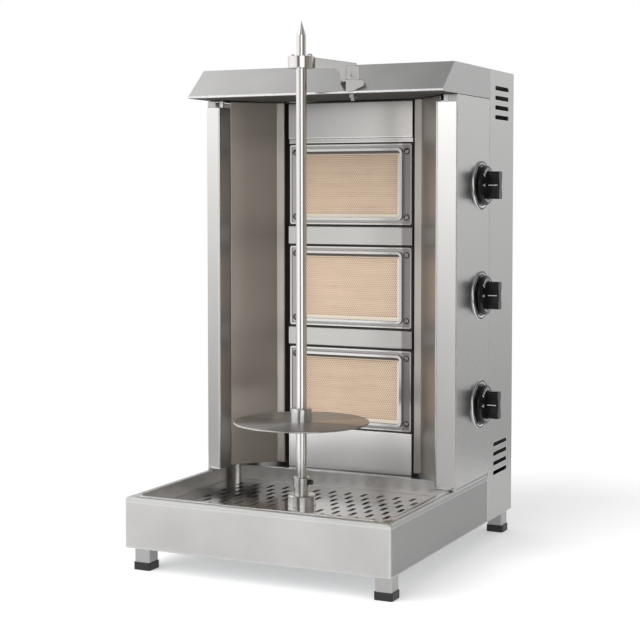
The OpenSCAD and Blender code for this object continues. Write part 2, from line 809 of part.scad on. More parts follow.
module bracket_bolts() color(grey) placed() {
    nut_h = bolt_d * 0.8;
    cheek_out = arm_t / 2 + hole_gap + bracket_t;
    at_bracket(cross_z) rotate([90, 0, 0]) {
        cylinder(d = cross_d, h = 2 * cheek_out + 6, center = true);
        translate([0, 0, cheek_out]) hex(10, 4);
        translate([0, 0, -cheek_out - 4]) hex(10, 4);
    }
    // bolt that hangs from the plate through the canopy's face and lower flange
    translate([bracket_x, bracket_y, 0]) {
        translate([0, 0, z_lip - nut_h - 5]) cylinder(d = bolt_d, h = z_bracket - bracket_t - z_lip + nut_h + 5);
        translate([0, 0, z_lip - nut_h]) hex(bolt_d * 1.6, nut_h);
    }
}

module canopy() color(steel) placed() difference() {
    back = base_d - seam / 2;
    soffit_y = column_y - sheet / 2 - panel_out - soffit_gap;
    section = [[back, bend_top.y], bend_top, bend_low, [soffit_y, bend_low.y]];
    cheek = [[back, bend_top.y], bend_top, bend_low, [back, bend_low.y]];
    union() {
        across(base_w) bent_sheet(section);
        for (side = [-1, 1]) translate([side * side_in, 0, 0]) across(sheet)
            polygon(beside(bent(cheek), -sheet / 2));
        // stiffeners along the back of the underside and the roof
        translate([-half + sheet, soffit_y - sheet, z_lip]) cube([base_w - 2 * sheet, sheet, 16]);
        translate([-half + sheet, back - sheet, z_roof - 20]) cube([base_w - 2 * sheet, sheet, 19]);
    }
    translate([bracket_x, bracket_y, z_lip - 1])
        cylinder(d = bolt_d + hole_gap, h = canopy_drop - 8);
}

module wing(side) color(steel) placed() on_side(side) {
    front = [wing_in, wing_y - wing_slant];
    plan = [[side_in, wing_y], front, [wing_in - wing_lean, wing_back]];
    top = z_lip - wing_top_gap;
    translate([0, 0, z_foot]) linear_extrude(top - z_foot) bent_sheet(plan);
    // skirting along the foot of the face, and the block it stands on
    translate([0, 0, z_rim + pan_t + 0.7]) linear_extrude(upstand_h - pan_t - 0.7)
        polygon([plan[0] + [0, -0.8 - sheet / 2], plan[0] + [0, 0.8 + sheet / 2],
            front + [0, 0.8 + sheet / 2], front + [0, -0.8 - sheet / 2]]);
    translate([side_in - 5, wing_y - 4, z_rim]) cube([4, 5, upstand_h + 1]);
    // top plate, clear of the side panel's fold, and the tab that joins it to the canopy
    tab_x = side_in - panel_fold - 2;
    translate([0, 0, top - sheet]) linear_extrude(sheet)
        polygon([plan[0], plan[1], plan[2], [tab_x, wing_back], [tab_x, wing_y]]);
    translate([tab_x - 10, wing_back - 8, top - 1]) cube([10, 3, wing_top_gap + 1]);
}

module reflector(side) color(steel) placed() on_side(side) {
    outer = [wing_in - wing_lean, wing_back + sheet + seam];
    inner = [reflector_in, column_y - reflector_fwd];
    edge = inner - [strip_w, 0];
    plan = [outer, inner, edge, [edge.x, column_y + recess_d - sheet]];
    low = z_rim + reflector_gap;
    translate([0, 0, low]) linear_extrude(z_column - low) bent_sheet(plan);
}

module side_panel(side) color(steel) placed() on_side(side) difference() {
    back = base_d - seam / 2 - sheet / 2;
    plan = [[side_in - panel_fold, panel_front], [side_in, panel_front], [side_in, back],
        [side_in - panel_fold, back]];
    translate([0, 0, z_foot]) linear_extrude(z_lip - seam - z_foot) fold(plan);
    if (side > 0) for (i = [0 : 2]) translate([side_in - 5, knob_y, knob_z(i)])
        along_x() cylinder(d = nose_d + hole_gap, h = 10);
}

// Row of vents, drawn as an outline
module vent_rows(l) for (i = [0 : vents - 1]) translate([0, i * vent_pitch])
    fold([[vent_h / 2 - l / 2, 0], [l / 2 - vent_h / 2, 0]], vent_h);

module rear_cover() color(steel) placed() difference() {
    front = base_d + seam / 2 + sheet / 2;
    back = total_d - sheet / 2;
    plan = [[-side_in, front], [-side_in, back], [side_in, back], [side_in, front]];
    top_vents = z_roof - vent_top - (vents - 1) * vent_pitch;
    union() {
        translate([0, 0, z_base]) linear_extrude(z_roof - z_base) fold(plan);
        translate([0, 0, z_roof - sheet]) linear_extrude(sheet) polygon(plan);
    }
    for (z = [top_vents, z_base + vent_low]) {
        translate([0, base_d + rear_d / 2, z]) across(base_w + 2) vent_rows(vent_l);
        for (x = [-1, 1]) translate([x * base_w / 4, total_d + 1, z]) forward(2 * sheet)
            vent_rows(back_vent_l);
    }
    translate([pipe_x, total_d - 2 * sheet, inlet_z]) rotate([-90, 0, 0])
        cylinder(d = pipe_d + 2 * hole_gap, h = 3 * sheet);
    translate([-gland_x, total_d - 2 * sheet, z_base + gland_up]) rotate([-90, 0, 0])
        cylinder(d = gland_d + 2 * hole_gap, h = 3 * sheet);
}

window_back_w = window_w + 2 * (ceramic_lap + ceramic_gap);
window_back_h = window_h + 2 * (ceramic_lap + ceramic_gap);

// Places of the four screws of a burner frame
module at_frame_screws() for (x = [-1, 1], z = [-1, 1])
    translate([x * (frame_w / 2 - screw_in_x), z * (frame_h / 2 - screw_in_z)]) children();

module column_frame() color(steel) placed() {
    out = column_w / 2 - sheet / 2;
    edge_x = reflector_in - strip_w;
    plan = [[-edge_x, recess_d], [-out, recess_d], [-out, sheet / 2], [out, sheet / 2],
        [out, recess_d], [edge_x, recess_d]];
    translate([0, column_y, 0]) difference() {
        translate([0, 0, z_rim]) linear_extrude(z_column - z_rim) fold(plan);
        for (i = [0 : 2]) translate([0, 2 * sheet, burner_z(i)]) forward(3 * sheet) {
            rounded(window_back_w, window_back_h, window_r);
            at_frame_screws() circle(d = screw_d + hole_gap);
        }
    }
    // bars between the burners
    for (i = [0, 1]) translate([0, 0, burner_z(i) + burner_pitch / 2]) across(column_w)
        translate([column_y + sheet / 2 - (panel_out + sheet) / 2 + 0.5, 0])
            rounded(panel_out + sheet, bar_h, bar_r);
}

// Folded panel on the column, with round upper and lower edges
module column_panel(low, high, out) translate([0, column_y - out / 2, (low + high) / 2])
    across(column_w) rounded(out, high - low, min(bar_r, out / 2 - 0.1));

module top_panel() color(steel) placed() {
    low = burner_z(2) + frame_h / 2 + panel_gap;
    column_panel(low, low + step_h, panel_out / 2);
    column_panel(low + step_h - 1, z_column, panel_out);
}

module lower_panel() color(steel) placed()
    column_panel(z_rim, burner_z(0) - frame_h / 2 - panel_gap, panel_out);

module burner_frame(i) color(steel) placed() translate([0, column_y, burner_z(i)]) {
    forward(sheet) difference() {
        border(frame_w, frame_h, 4, window_w, window_h, window_r);
        at_frame_screws() circle(d = screw_d + hole_gap);
    }
    forward(lip_out) border(window_w + 2 * lip_w, window_h + 2 * lip_w, window_r + lip_w,
        window_w, window_h, window_r);
    forward(edge_out) border(frame_w, frame_h, 4, frame_w - 2 * edge_w, frame_h - 2 * edge_w, 2);
}

module ceramic_plate(i) color(ceramic) placed() translate([0, column_y + ceramic_t, burner_z(i)])
    forward(ceramic_t) rounded(window_w + 2 * ceramic_lap, window_h + 2 * ceramic_lap, window_r - 1);

module burner_box(i) color(grey) placed() difference() {
    front = column_y + sheet;
    wall = 1.5;
    mouth_x = half - mouth_in;
    offset_z = knob_z(i) - burner_z(i);
    outer_w = window_back_w + 2 * wall;
    outer_h = window_back_h + 2 * wall;
    tube = mouth_x - outer_w / 2;
    union() {
        translate([0, front + sheet, burner_z(i)]) forward(sheet) difference() {
            rounded(window_back_w + 2 * box_flange, window_back_h + 2 * box_flange, 4);
            at_frame_screws() circle(d = screw_d + hole_gap);
        }
        translate([0, front + box_d, burner_z(i)]) forward(box_d) rounded(outer_w, outer_h, 8);
        // mixing tube that ends in a wide mouth near the valve
        translate([outer_w / 2 - 1, knob_y, knob_z(i)]) along_x() {
            cylinder(d = tube_d, h = tube + 1);
            translate([0, 0, tube - 11]) cylinder(d1 = tube_d, d2 = mouth_d, h = 12);
        }
    }
    translate([0, front + box_d - wall, burner_z(i)]) forward(box_d)
        rounded(window_back_w, window_back_h, 6.5);
    translate([outer_w / 2 - 4, knob_y, knob_z(i)]) along_x() {
        cylinder(d = tube_d - 3, h = tube + 6);
        translate([0, 0, tube - 8]) cylinder(d1 = tube_d - 3, d2 = mouth_d - 2.5, h = 12.01);
    }
}

// The gas pipe's route as a solid rod: up beside the valves, with an elbow to the inlet at the back
module pipe_route(r, extra) {
    bottom = inlet_z + bend_r;
    translate([pipe_x, pipe_y, bottom]) cylinder(r = r, h = knob_z(2) + 26 - bottom - (extra > 0 ? 4 : 0));
    translate([pipe_x, pipe_y + bend_r, bottom]) rotate([0, -90, 0]) rotate([0, 0, 180])
        rotate_extrude(angle = 90) translate([bend_r, 0]) circle(r);
    translate([pipe_x, pipe_y + bend_r, inlet_z]) rotate([-90, 0, 0])
        cylinder(r = r, h = total_d + inlet_out - pipe_y - bend_r + extra);
}

module gas_manifold() color(brass) placed() {
    difference() {
        pipe_route(pipe_d / 2, 0);
        pipe_route(pipe_d / 2 - pipe_wall, 1);
        for (i = [0 : 2]) translate([pipe_x, pipe_y, knob_z(i)]) rotate([90, 0, 0])
            cylinder(d = 8, h = pipe_d);
    }
    // lock nut on the outside of the rear cover
    translate([pipe_x, total_d, inlet_z]) rotate([-90, 0, 0]) difference() {
        hex(pipe_d + 10, nut_t);
        translate([0, 0, -1]) cylinder(r = pipe_d / 2 - pipe_wall / 2, h = nut_t + 2);
    }
}

module gas_valve(i) color(brass) placed() translate([0, knob_y, knob_z(i)]) difference() {
    boss_y = pipe_y - knob_y - pipe_d / 2;
    union() {
        translate([valve_x, 0, 0]) along_x() cylinder(d = valve_d, h = valve_l);
        translate([valve_x + valve_l - 1, 0, 0]) along_x()
            cylinder(d = nose_d, h = half + bezel_t - valve_x - valve_l + 1);
        // inlet from the pipe, as a boss shaped to fit round it
        difference() {
            translate([pipe_x, 0, 0]) rotate([-90, 0, 0]) cylinder(d = 15, h = boss_y + pipe_d / 2);
            translate([pipe_x, boss_y + pipe_d / 2, 0]) cylinder(d = pipe_d + 2 * run, h = 40, center = true);
        }
        // nozzle in front of the mixing tube
        translate([valve_x + 1, 0, 0]) rotate([0, -90, 0]) {
            hex(15, 15);
            cylinder(d = 11, h = 22);
            translate([0, 0, 22]) cylinder(d1 = 11, d2 = 6, h = 9);
        }
    }
    translate([valve_x + 5, 0, 0]) along_x() cylinder(d = plug_d + 2 * run, h = valve_l);
    translate([half - 10, 0, 0]) along_x() cylinder(d = plug_d + 2 * run, h = 30);
    translate([valve_x - 40, 0, 0]) along_x() cylinder(d = 2.5, h = 50);
    translate([pipe_x, 0, 0]) rotate([-90, 0, 0]) cylinder(d = 7, h = 60);
}

plug_x = valve_x + 5 + rest_gap;
plug_l = half + bezel_t - plug_x;

module valve_plug(i) color(brass) placed() translate([plug_x, knob_y, knob_z(i)]) along_x()
    difference() {
        cylinder(d = plug_d, h = plug_l);
        translate([0, 0, 12]) cylinder(d = spindle_d + 2 * run, h = plug_l);
        // gas port across the plug, and the way out to the nozzle
        translate([0, 0, pipe_x - plug_x]) rotate([90, 0, 0]) cylinder(d = 5, h = plug_d, center = true);
        translate([0, 0, -1]) cylinder(d = 3, h = 14);
    }

spindle_x = plug_x + 12 + push + 1;
bore_l = skirt_t + 8;

// Round bar with one flat, drawn as an outline
module flatted(d, grow) intersection() {
    circle(d = d + 2 * grow);
    translate([-d, -d]) square([2 * d, 1.35 * d + grow]);
}

module valve_spindle(i) color(grey) placed() translate([spindle_x, knob_y, knob_z(i)]) along_x() {
    round_l = half + bezel_t - spindle_x;
    cylinder(d = spindle_d, h = round_l);
    translate([0, 0, round_l - 0.5]) linear_extrude(push + rest_gap + bore_l - 0.5)
        flatted(spindle_d, 0);
}

module knob(i) color(black) placed() translate([knob_x, knob_y, knob_z(i)]) along_x() difference() {
    r = skirt_d / 2;
    union() {
        rotate_extrude() polygon([
            [0, 0], [r - 1, 0], [r, 1], [r, skirt_t - 3], [r - 3, skirt_t], [r - 9, skirt_t],
            [r - 10, skirt_t - 0.6], [0, skirt_t - 0.6]]);
        translate([0, 0, skirt_t - 1]) difference() {
            linear_extrude(grip_h + 1) rounded(grip_l, grip_w, 4);
            // finger hollows along the grip
            for (side = [-1, 1]) translate([0, side * (hollow_r + grip_w / 2 - 2.2), 3])
                cylinder(r = hollow_r, h = grip_h + 1, $fn = 96);
        }
    }
    translate([0, 0, -1]) linear_extrude(bore_l + 1) flatted(spindle_d, run);
}

module knob_bezel(i) color(bright) placed() translate([half, knob_y, knob_z(i)]) along_x()
    rotate_extrude() {
        hole = nose_d / 2 + hole_gap / 2;
        r = bezel_r;
        polygon([
            [hole, 0], [r, 0], [r, 1], [r - 1.2, bezel_t - 0.4], [r - 3, bezel_t],
            [r - 6, bezel_t - 0.6], [r - 8, 1.4], [hole, 1.4]]);
    }

module frame_screws() color(bright) placed() for (i = [0 : 2])
    translate([0, column_y - sheet, burner_z(i)]) rotate([90, 0, 0]) at_frame_screws() {
        difference() {
            intersection() {
                cylinder(d = screw_head_d, h = 2.4);
                translate([0, 0, 2.4 - screw_head_d]) sphere(screw_head_d);
            }
            translate([0, 0, 1.2]) {
                cube([4, 0.8, 3], center = true);
                cube([0.8, 4, 3], center = true);
            }
        }
        // shank through the frame, the column and the burner box's flange
        translate([0, 0, -3 * sheet - 1.5]) cylinder(d = screw_d, h = 3 * sheet + 1.7);
    }

module cable_gland() color(black) placed() translate([-gland_x, total_d, z_base + gland_up])
    rotate([-90, 0, 0]) difference() {
        union() {
            translate([0, 0, -12]) cylinder(d = gland_d, h = 13);
            translate([0, 0, -sheet - 4]) hex(gland_d + 6, 4);
            hex(gland_d + 6, 5);
            translate([0, 0, 5]) cylinder(d1 = gland_d + 4, d2 = gland_d, h = 12);
        }
        translate([0, 0, -13]) cylinder(d = gland_d / 2, h = 40);
    }

base_housing();
base_floor();
leg(-leg_x, leg_front_y);  // leg_front_left
leg(leg_x, leg_front_y);  // leg_front_right
leg(-leg_x, leg_rear_y);  // leg_rear_left
leg(leg_x, leg_rear_y);  // leg_rear_right
foot_caps();
drip_pan();
perforated_plate();
gear_motor();
bearing_boss();
drive_socket();
thumb_screw();
spit();
meat_disc();
disc_hub();
disc_set_screw();
top_arm();
ring_gate();
ring_pins();
arm_bracket();
bracket_bolts();
canopy();
wing(-1);  // left_wing
wing(1);  // right_wing
reflector(-1);  // left_reflector
reflector(1);  // right_reflector
side_panel(-1);  // left_side_panel
side_panel(1);  // right_side_panel
rear_cover();
column_frame();
top_panel();
lower_panel();
for (i = [0 : 2]) {
    burner_frame(i);
    ceramic_plate(i);
    burner_box(i);
    gas_valve(i);
    valve_plug(i);
    valve_spindle(i);
    knob(i);
    knob_bezel(i);
}
gas_manifold();
frame_screws();
cable_gland();
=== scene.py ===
# %% [markdown]
# # A kebab grill in brushed steel
# The grill is a folded sheet-steel cabinet with three ceramic gas burners, a turning spit and a
# drip tray under a slotted plate. Its shapes come from the CAD frame. This script gives every
# piece a finish, adds the printed marks that CAD leaves out, and sets up a plain photo studio.

import math

import bmesh
import bpy
from mathutils import Matrix, Vector


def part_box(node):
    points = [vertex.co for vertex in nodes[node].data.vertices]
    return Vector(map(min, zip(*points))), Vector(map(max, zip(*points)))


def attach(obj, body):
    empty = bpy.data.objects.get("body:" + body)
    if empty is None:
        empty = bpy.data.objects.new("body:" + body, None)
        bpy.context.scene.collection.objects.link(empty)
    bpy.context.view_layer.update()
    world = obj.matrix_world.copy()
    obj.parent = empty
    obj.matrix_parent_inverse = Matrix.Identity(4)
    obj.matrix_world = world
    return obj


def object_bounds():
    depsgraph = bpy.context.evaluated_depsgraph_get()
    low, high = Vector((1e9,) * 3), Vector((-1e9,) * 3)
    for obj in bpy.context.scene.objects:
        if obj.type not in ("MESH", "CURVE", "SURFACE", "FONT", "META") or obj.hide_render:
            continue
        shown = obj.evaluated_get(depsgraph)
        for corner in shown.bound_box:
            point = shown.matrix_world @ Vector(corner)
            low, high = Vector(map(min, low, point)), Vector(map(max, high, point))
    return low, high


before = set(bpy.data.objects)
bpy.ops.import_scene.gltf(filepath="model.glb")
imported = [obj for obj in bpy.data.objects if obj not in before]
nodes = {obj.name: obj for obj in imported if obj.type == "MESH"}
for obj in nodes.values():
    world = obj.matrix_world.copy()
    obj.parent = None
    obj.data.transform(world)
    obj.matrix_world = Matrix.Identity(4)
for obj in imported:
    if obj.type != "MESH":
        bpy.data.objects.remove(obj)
cad_low, cad_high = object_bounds()
LEVELS = ("bottom", "middle", "top")
MICRON = 1e-6

# %% [markdown]
# ## Shader maths as plain expressions
# A finish is built from small sums: a mask times a colour, one minus a mask, noise plus an offset.
# Wiring Math nodes by hand hides that. The class below wraps one socket and overloads the
# operators, so that an expression adds its own Math nodes.

# %% A socket that can be used in sums
class Value:
    def __init__(self, home, socket):
        self.home, self.socket = home, socket

    def maths(self, operation, *others):
        return self.home.node("Math", {"operation": operation}, dict(enumerate((self, *others))))

    def reflected(self, operation, first):
        return self.home.node("Math", {"operation": operation}, {0: first, 1: self})

    def __add__(self, other): return self.maths("ADD", other)
    def __radd__(self, other): return self.reflected("ADD", other)
    def __sub__(self, other): return self.maths("SUBTRACT", other)
    def __rsub__(self, other): return self.reflected("SUBTRACT", other)
    def __mul__(self, other): return self.maths("MULTIPLY", other)
    def __rmul__(self, other): return self.reflected("MULTIPLY", other)
    def __truediv__(self, other): return self.maths("DIVIDE", other)
    def __rtruediv__(self, other): return self.reflected("DIVIDE", other)
    def __pow__(self, other): return self.maths("POWER", other)
    def __rpow__(self, other): return self.reflected("POWER", other)
    def __gt__(self, other): return self.maths("GREATER_THAN", other)
    def __lt__(self, other): return self.maths("LESS_THAN", other)
    def __abs__(self): return self.maths("ABSOLUTE")

    def clamp(self):
        return self.maths("MAXIMUM", 0.0).maths("MINIMUM", 1.0)


print("sums ready")

# %% [markdown]
# ## One way to add a node
# Every other node comes from one method. It takes the node's type, then its settings, then what
# goes into its sockets, by number or by name. Settings come first because some of them change
# which sockets a node has. The short methods below it only give its most used calls a name.

# %% A node tree
class Nodes:
    def __init__(self, tree):
        self.tree = tree

    def feed(self, socket, item):
        if isinstance(item, Value):
            self.tree.links.new(item.socket, socket)
        elif isinstance(item, tuple) and len(item) < len(socket.default_value):
            socket.default_value = (*item, 1.0)
        else:
            socket.default_value = item

    def set_stops(self, elements, stops):
        while len(elements) < len(stops):
            elements.new(0.5)
        for element, (place, colour) in zip(elements, stops):
            element.position = place
            element.color = (*(colour if isinstance(colour, tuple) else (colour,) * 3), 1.0)

    def node(self, kind, settings=None, sockets=None, output=0, **named):
        made = self.tree.nodes.new("ShaderNode" + kind)
        for name, setting in (settings or {}).items():
            if name == "stops":
                self.set_stops(made.color_ramp.elements, setting)
            else:
                setattr(made, name, setting)
        for number, item in (sockets or {}).items():
            self.feed(made.inputs[number], item)
        for name, item in named.items():
            self.feed(made.inputs[name.replace("_", " ")], item)
        return Value(self, made.outputs[output])

    def mix(self, share, first, second):
        return self.node("Mix", {"data_type": "RGBA"}, {0: share, 6: first, 7: second}, output=2)

    def parts(self, vector):
        split = self.node("SeparateXYZ", Vector=vector)
        return [Value(self, output) for output in split.socket.node.outputs]

    def dot(self, first, second):
        return self.node("VectorMath", {"operation": "DOT_PRODUCT"}, {0: first, 1: second},
                         output="Value")

    def ramp(self, share, stops):
        return self.node("ValToRGB", {"stops": stops}, {0: share})

    def place(self):
        return self.node("TexCoord", output="Object")

    def stretched(self, x, y, z):
        return self.node("Mapping", Vector=self.place(), Scale=(x, y, z))

    def noise(self, vector, size, detail=2.0, rough=0.5):
        return self.node("TexNoise", Vector=vector, Scale=size, Detail=detail, Roughness=rough)


print("node trees ready")

# %% [markdown]
# ## A finish is one material
# Each finish drives one Principled shader. Folded sheet has round bends, which CAD leaves sharp.
# Bevelling them would change the CAD meshes, so a Bevel node rounds only the way they catch light.
# Rolled sheet is never quite flat either, and a second, very wide bump gives it that swell.

# %% A finish
FOLD_SAMPLES = 4
SWELL_SIZE = 4.5


class Finish(Nodes):
    def __init__(self, name):
        self.material = bpy.data.materials.new(name)
        self.material.use_nodes = True
        super().__init__(self.material.node_tree)
        self.shader = self.tree.nodes["Principled BSDF"]

    def set(self, **inputs):
        for name, item in inputs.items():
            self.feed(self.shader.inputs[name.replace("_", " ")], item)

    def fold(self, radius):
        return self.node("Bevel", {"samples": FOLD_SAMPLES}, Radius=radius)

    def bump(self, height, distance, fold=None, waves=0.0):
        under = {"Normal": fold} if fold else {}
        raised = self.node("Bump", Height=height, Distance=distance, **under)
        if waves:
            swell = self.noise(self.place(), SWELL_SIZE, detail=1.0)
            raised = self.node("Bump", Height=swell, Distance=waves, Normal=raised)
        self.set(Normal=raised)


def shade(colour, factor, most=1.0):
    return tuple(min(most, part * factor) for part in colour)


print("finishes ready")

# %% [markdown]
# ## Brushed stainless steel
# The sheet comes from the mill with a grain of long fine scratches, all in one direction, under a
# soft gloss. Real scratches would be millions of faces, so the grain is noise that is stretched
# along one axis. It changes colour, roughness and the slope of the surface by small amounts.

# %% The grain and the cloudiness of a sheet
GRAIN = 1500.0
GRAIN_LENGTH = 0.012
ALONG = {"x": (GRAIN_LENGTH, 1, 1), "y": (1, GRAIN_LENGTH, 1), "z": (1, 1, GRAIN_LENGTH)}


def grain(finish, direction, size=GRAIN):
    return finish.noise(finish.stretched(*ALONG[direction]), size, detail=3.0, rough=0.65)


def clouds(finish, size=9.0):
    return finish.noise(finish.place(), size, detail=3.0, rough=0.55)


print("grain runs along", ", ".join(ALONG))

# %% [markdown]
# ## One maker for all brushed sheets
# All sheets share one recipe: grain, haze, then painted light. Masks darken parts of a sheet,
# mostly as painted shade, a deep painted shade covers others, faces turned sideways can get a
# painted shade, and a painted highlight makes each fold a bright line. A fold is where the Bevel
# node's normal leaves the true one. A box that is seen on two faces gets its grain along both of
# them.

# %% Brushed sheet
TONE_SPREAD = 0.20      # how far grain and haze move the colour, up and down
DARK_SHARE = 0.40             # what is left of the colour where a mask darkens it
# Colour and added roughness of the deep painted shade.
DEEP_SHADE = (0.05, 0.045, 0.04)
DEEP_SHADE_ROUGHNESS = 0.6
FACES_ON = 0.7          # a normal's part, from which a face counts as turned that way
# Painted highlight on folds: how sharply it follows a fold, how far it lifts the colour, and the
# most it may reach.
FOLD_CONTRAST = 8.0
FOLD_LIFT, FOLD_MOST = 2.1, 0.95
GRAIN_GLOSS, HAZE_GLOSS = 0.08, 0.06    # how far grain and haze move the roughness
SHEET_WAVES = 0.0012


def brushed(name, colour, rough, direction, contrast=0.10, depth=5 * MICRON, side_shade=1.0,
            deep_shaded=None, darkened=None, edge=0.0020, cloudy=0.10, fold_highlight=0.7):
    finish = Finish(name)
    normal = finish.node("NewGeometry", output="Normal")
    facing = finish.parts(normal)
    spot = finish.parts(finish.place())
    if direction == "box":
        sideways = abs(facing[0]) > FACES_ON
        scratches = grain(finish, "x") * (1 - sideways) + grain(finish, "y") * sideways
    else:
        scratches = grain(finish, direction)
    haze = clouds(finish)
    tone = ((scratches - 0.5) * contrast + (haze - 0.5) * cloudy + 0.5).clamp()
    metal = finish.mix(tone, shade(colour, 1 - TONE_SPREAD), shade(colour, 1 + TONE_SPREAD))
    # Darker where the caller's mask says: painted shade on most sheets, and only darker towards
    # the bottom on the wings and outer panels.
    if darkened:
        metal = finish.mix(darkened(spot), metal, shade(colour, DARK_SHARE))
    # Painted shade on faces that are turned sideways, towards x.
    if side_shade < 1.0:
        metal = finish.mix(abs(facing[0]) > FACES_ON, metal, shade(colour, side_shade))
    fold = finish.fold(edge)
    # Painted highlight: each fold is lifted towards a bright line.
    bent = ((1 - finish.dot(normal, fold)) * FOLD_CONTRAST).clamp()
    metal = finish.mix(bent * fold_highlight, metal, shade(colour, FOLD_LIFT, FOLD_MOST))
    roughness = (scratches - 0.5) * GRAIN_GLOSS + (haze - 0.5) * HAZE_GLOSS + rough
    # Deep painted shade: the mask darkens the colour nearly to black, and makes it rough and not
    # metallic there.
    if deep_shaded:
        painted_shade = deep_shaded(spot, facing)
        metal = finish.mix(painted_shade, metal, DEEP_SHADE)
        roughness = roughness + painted_shade * DEEP_SHADE_ROUGHNESS
        finish.set(Metallic=1 - painted_shade)
    else:
        finish.set(Metallic=1.0)
    finish.set(Base_Color=metal, Roughness=roughness.clamp())
    finish.bump(scratches, depth, fold=fold, waves=SHEET_WAVES)
    return finish.material


print("brushed sheet ready")

# %% [markdown]
# ## Where deep painted shade sits
# Deep painted shade darkens faces turned down, as under the canopy, the column behind the bars,
# a ring round each screw, and the pressed channel and sloped steps of each burner frame. It could
# be painted on a texture. Masks made from sizes that are read from the frame need no picture, and
# they stay right if a size changes.

# %% Deep painted shade
# How strong the deep painted shade is at each place.
DEEP_SHADE_SHARE = {"under": 0.97, "behind bars": 0.93, "screws": 0.95, "channel": 0.25, "steps": 0.60}
SCREW_INSET_X, SCREW_INSET_Z = 0.0105, 0.0140
# Radius of the painted shade ring round each screw.
SCREW_SHADE_RADIUS = 0.0060
CHANNEL_DEPTH = 0.0024
BARS_DEPTH = 0.0004
STEP_SLOPE = 0.30

# The burner frames lie on the column's face, so the back of a frame tells where that face is.
frame_low, frame_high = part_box("burner_frame_middle")
column_face = frame_high.y
column_x = (frame_low.x + frame_high.x) / 2
frame_z = (frame_low.z + frame_high.z) / 2
frame_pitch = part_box("burner_frame_top")[0].z - frame_low.z
screw_x = (frame_high.x - frame_low.x) / 2 - SCREW_INSET_X
screw_z = (frame_high.z - frame_low.z) / 2 - SCREW_INSET_Z


def off_nearest(z, middle, pitch):
    """How far a height is above or below the nearest of three levels."""
    return (((z - middle) / pitch + 0.5).maths("FRACT") - 0.5) * pitch


def length(first, second):
    return (first * first + second * second) ** 0.5


# Deep painted shade on every face turned down, as under the canopy.
def under_side(spot, facing):
    return (facing[2] < -FACES_ON) * DEEP_SHADE_SHARE["under"]


# Deep painted shade on the column's face behind the bars, seen in the gaps round the frames.
def behind_bars(spot, facing):
    return (spot[1] > column_face - BARS_DEPTH) * DEEP_SHADE_SHARE["behind bars"]


# Deep painted shade: a ring round each screw, and the pressed channel and sloped steps of each
# burner frame.
def round_screws(spot, facing):
    x, y, z = spot
    away = length(abs(x - column_x) - screw_x, abs(off_nearest(z, frame_z, frame_pitch)) - screw_z)
    clear = away > SCREW_SHADE_RADIUS
    return ((away < SCREW_SHADE_RADIUS) * DEEP_SHADE_SHARE["screws"] +
            (y > column_face - CHANNEL_DEPTH) * clear * DEEP_SHADE_SHARE["channel"] +
            (abs(facing[2]) > STEP_SLOPE) * clear * DEEP_SHADE_SHARE["steps"])


print("soot ready, burners", round(frame_pitch, 4), "apart")

# %% [markdown]
# ## Where sheets are darkened
# Painted shade darkens the reflectors towards the column and between two burners, the top panel
# and the tray at the left, and the burner frames and the column to the right of the screws. The
# wings and the outer panels are darker towards the bottom. Each change fades over some
# centimetres, so each mask runs evenly from one place to another along one axis. On the
# reflectors it also follows the burners' levels.

# %% Darkened sheets
REACH = 0.62            # the most painted shade on a reflector, at its back edge
BETWEEN = 0.22          # how much more between two burners
SPARED = 0.08           # and what the front edge is spared


def share_of(value, start, end):
    return ((value - start) / (end - start)).clamp()


def darkened_along(axis, start, end, most):
    return lambda spot: share_of(spot["xyz".index(axis)], start, end) * most


# Painted shade on a reflector: darker towards its back edge and between two burners.
def darkened_round_burners(spot):
    x, y, z = spot
    low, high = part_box("left_reflector")
    level = abs(off_nearest(z, frame_z, frame_pitch))
    away = share_of(level, frame_pitch * 0.25, frame_pitch * 0.5)
    return (share_of(y, low.y, high.y) * REACH + away * BETWEEN - SPARED).clamp()


# The wings are darker towards their bottom and the outer panels towards the floor; painted shade
# on the top panel and the tray at the left, and on the burner frames and the column to the right
# of the screws.
low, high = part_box("right_wing")
darkened_towards_tray = darkened_along("z", high.z, low.z, 0.80)
darkened_near_floor = darkened_along("z", cad_low.z + 0.50, cad_low.z + 0.15, 0.30)
darkened_at_left = darkened_along("x", column_x + 0.09, column_x - 0.12, 0.75)
darkened_at_right = darkened_along("x", column_x + screw_x - 0.010, column_x + screw_x - 0.006, 0.80)
print("darkening ready, screws", round(2 * screw_x, 4), "apart")

# %% [markdown]
# ## The sheets of this grill
# Outer panels are mid grey and cloudy, the wings are brighter, and what stands near the fire is
# warmer and darker towards the column. One steel for all would look like a toy, and a recipe for
# each would drift apart. So each call gives one maker its own colour, roughness and way of the
# grain, and its own painted shade and painted highlight.

# %% Sheets
STEEL = (0.50, 0.495, 0.49)
# Each sheet may carry painted shade on its sides and from its masks, and a painted highlight on
# its folds.
sheet_box = brushed("brushed_steel_base", (0.49, 0.485, 0.48), 0.30, "box", contrast=0.22,
                    side_shade=0.50, cloudy=0.85, edge=0.0050, fold_highlight=1.0)
sheet_up = brushed("brushed_steel_upright", STEEL, 0.27, "z", depth=2.5 * MICRON,
                   darkened=darkened_near_floor)
sheet_leg = brushed("brushed_steel_leg", (0.40, 0.395, 0.39), 0.30, "z", depth=2 * MICRON)
sheet_wing = brushed("brushed_steel_wing", (0.68, 0.67, 0.66), 0.25, "z", contrast=0.06,
                     depth=2 * MICRON, side_shade=0.44, darkened=darkened_towards_tray)
sheet_across = brushed("brushed_steel_canopy", STEEL, 0.24, "x", contrast=0.20,
                       side_shade=0.76, cloudy=0.70, deep_shaded=under_side, edge=0.0030)
sheet_deep = brushed("brushed_steel_cover", STEEL, 0.30, "z", darkened=darkened_near_floor)
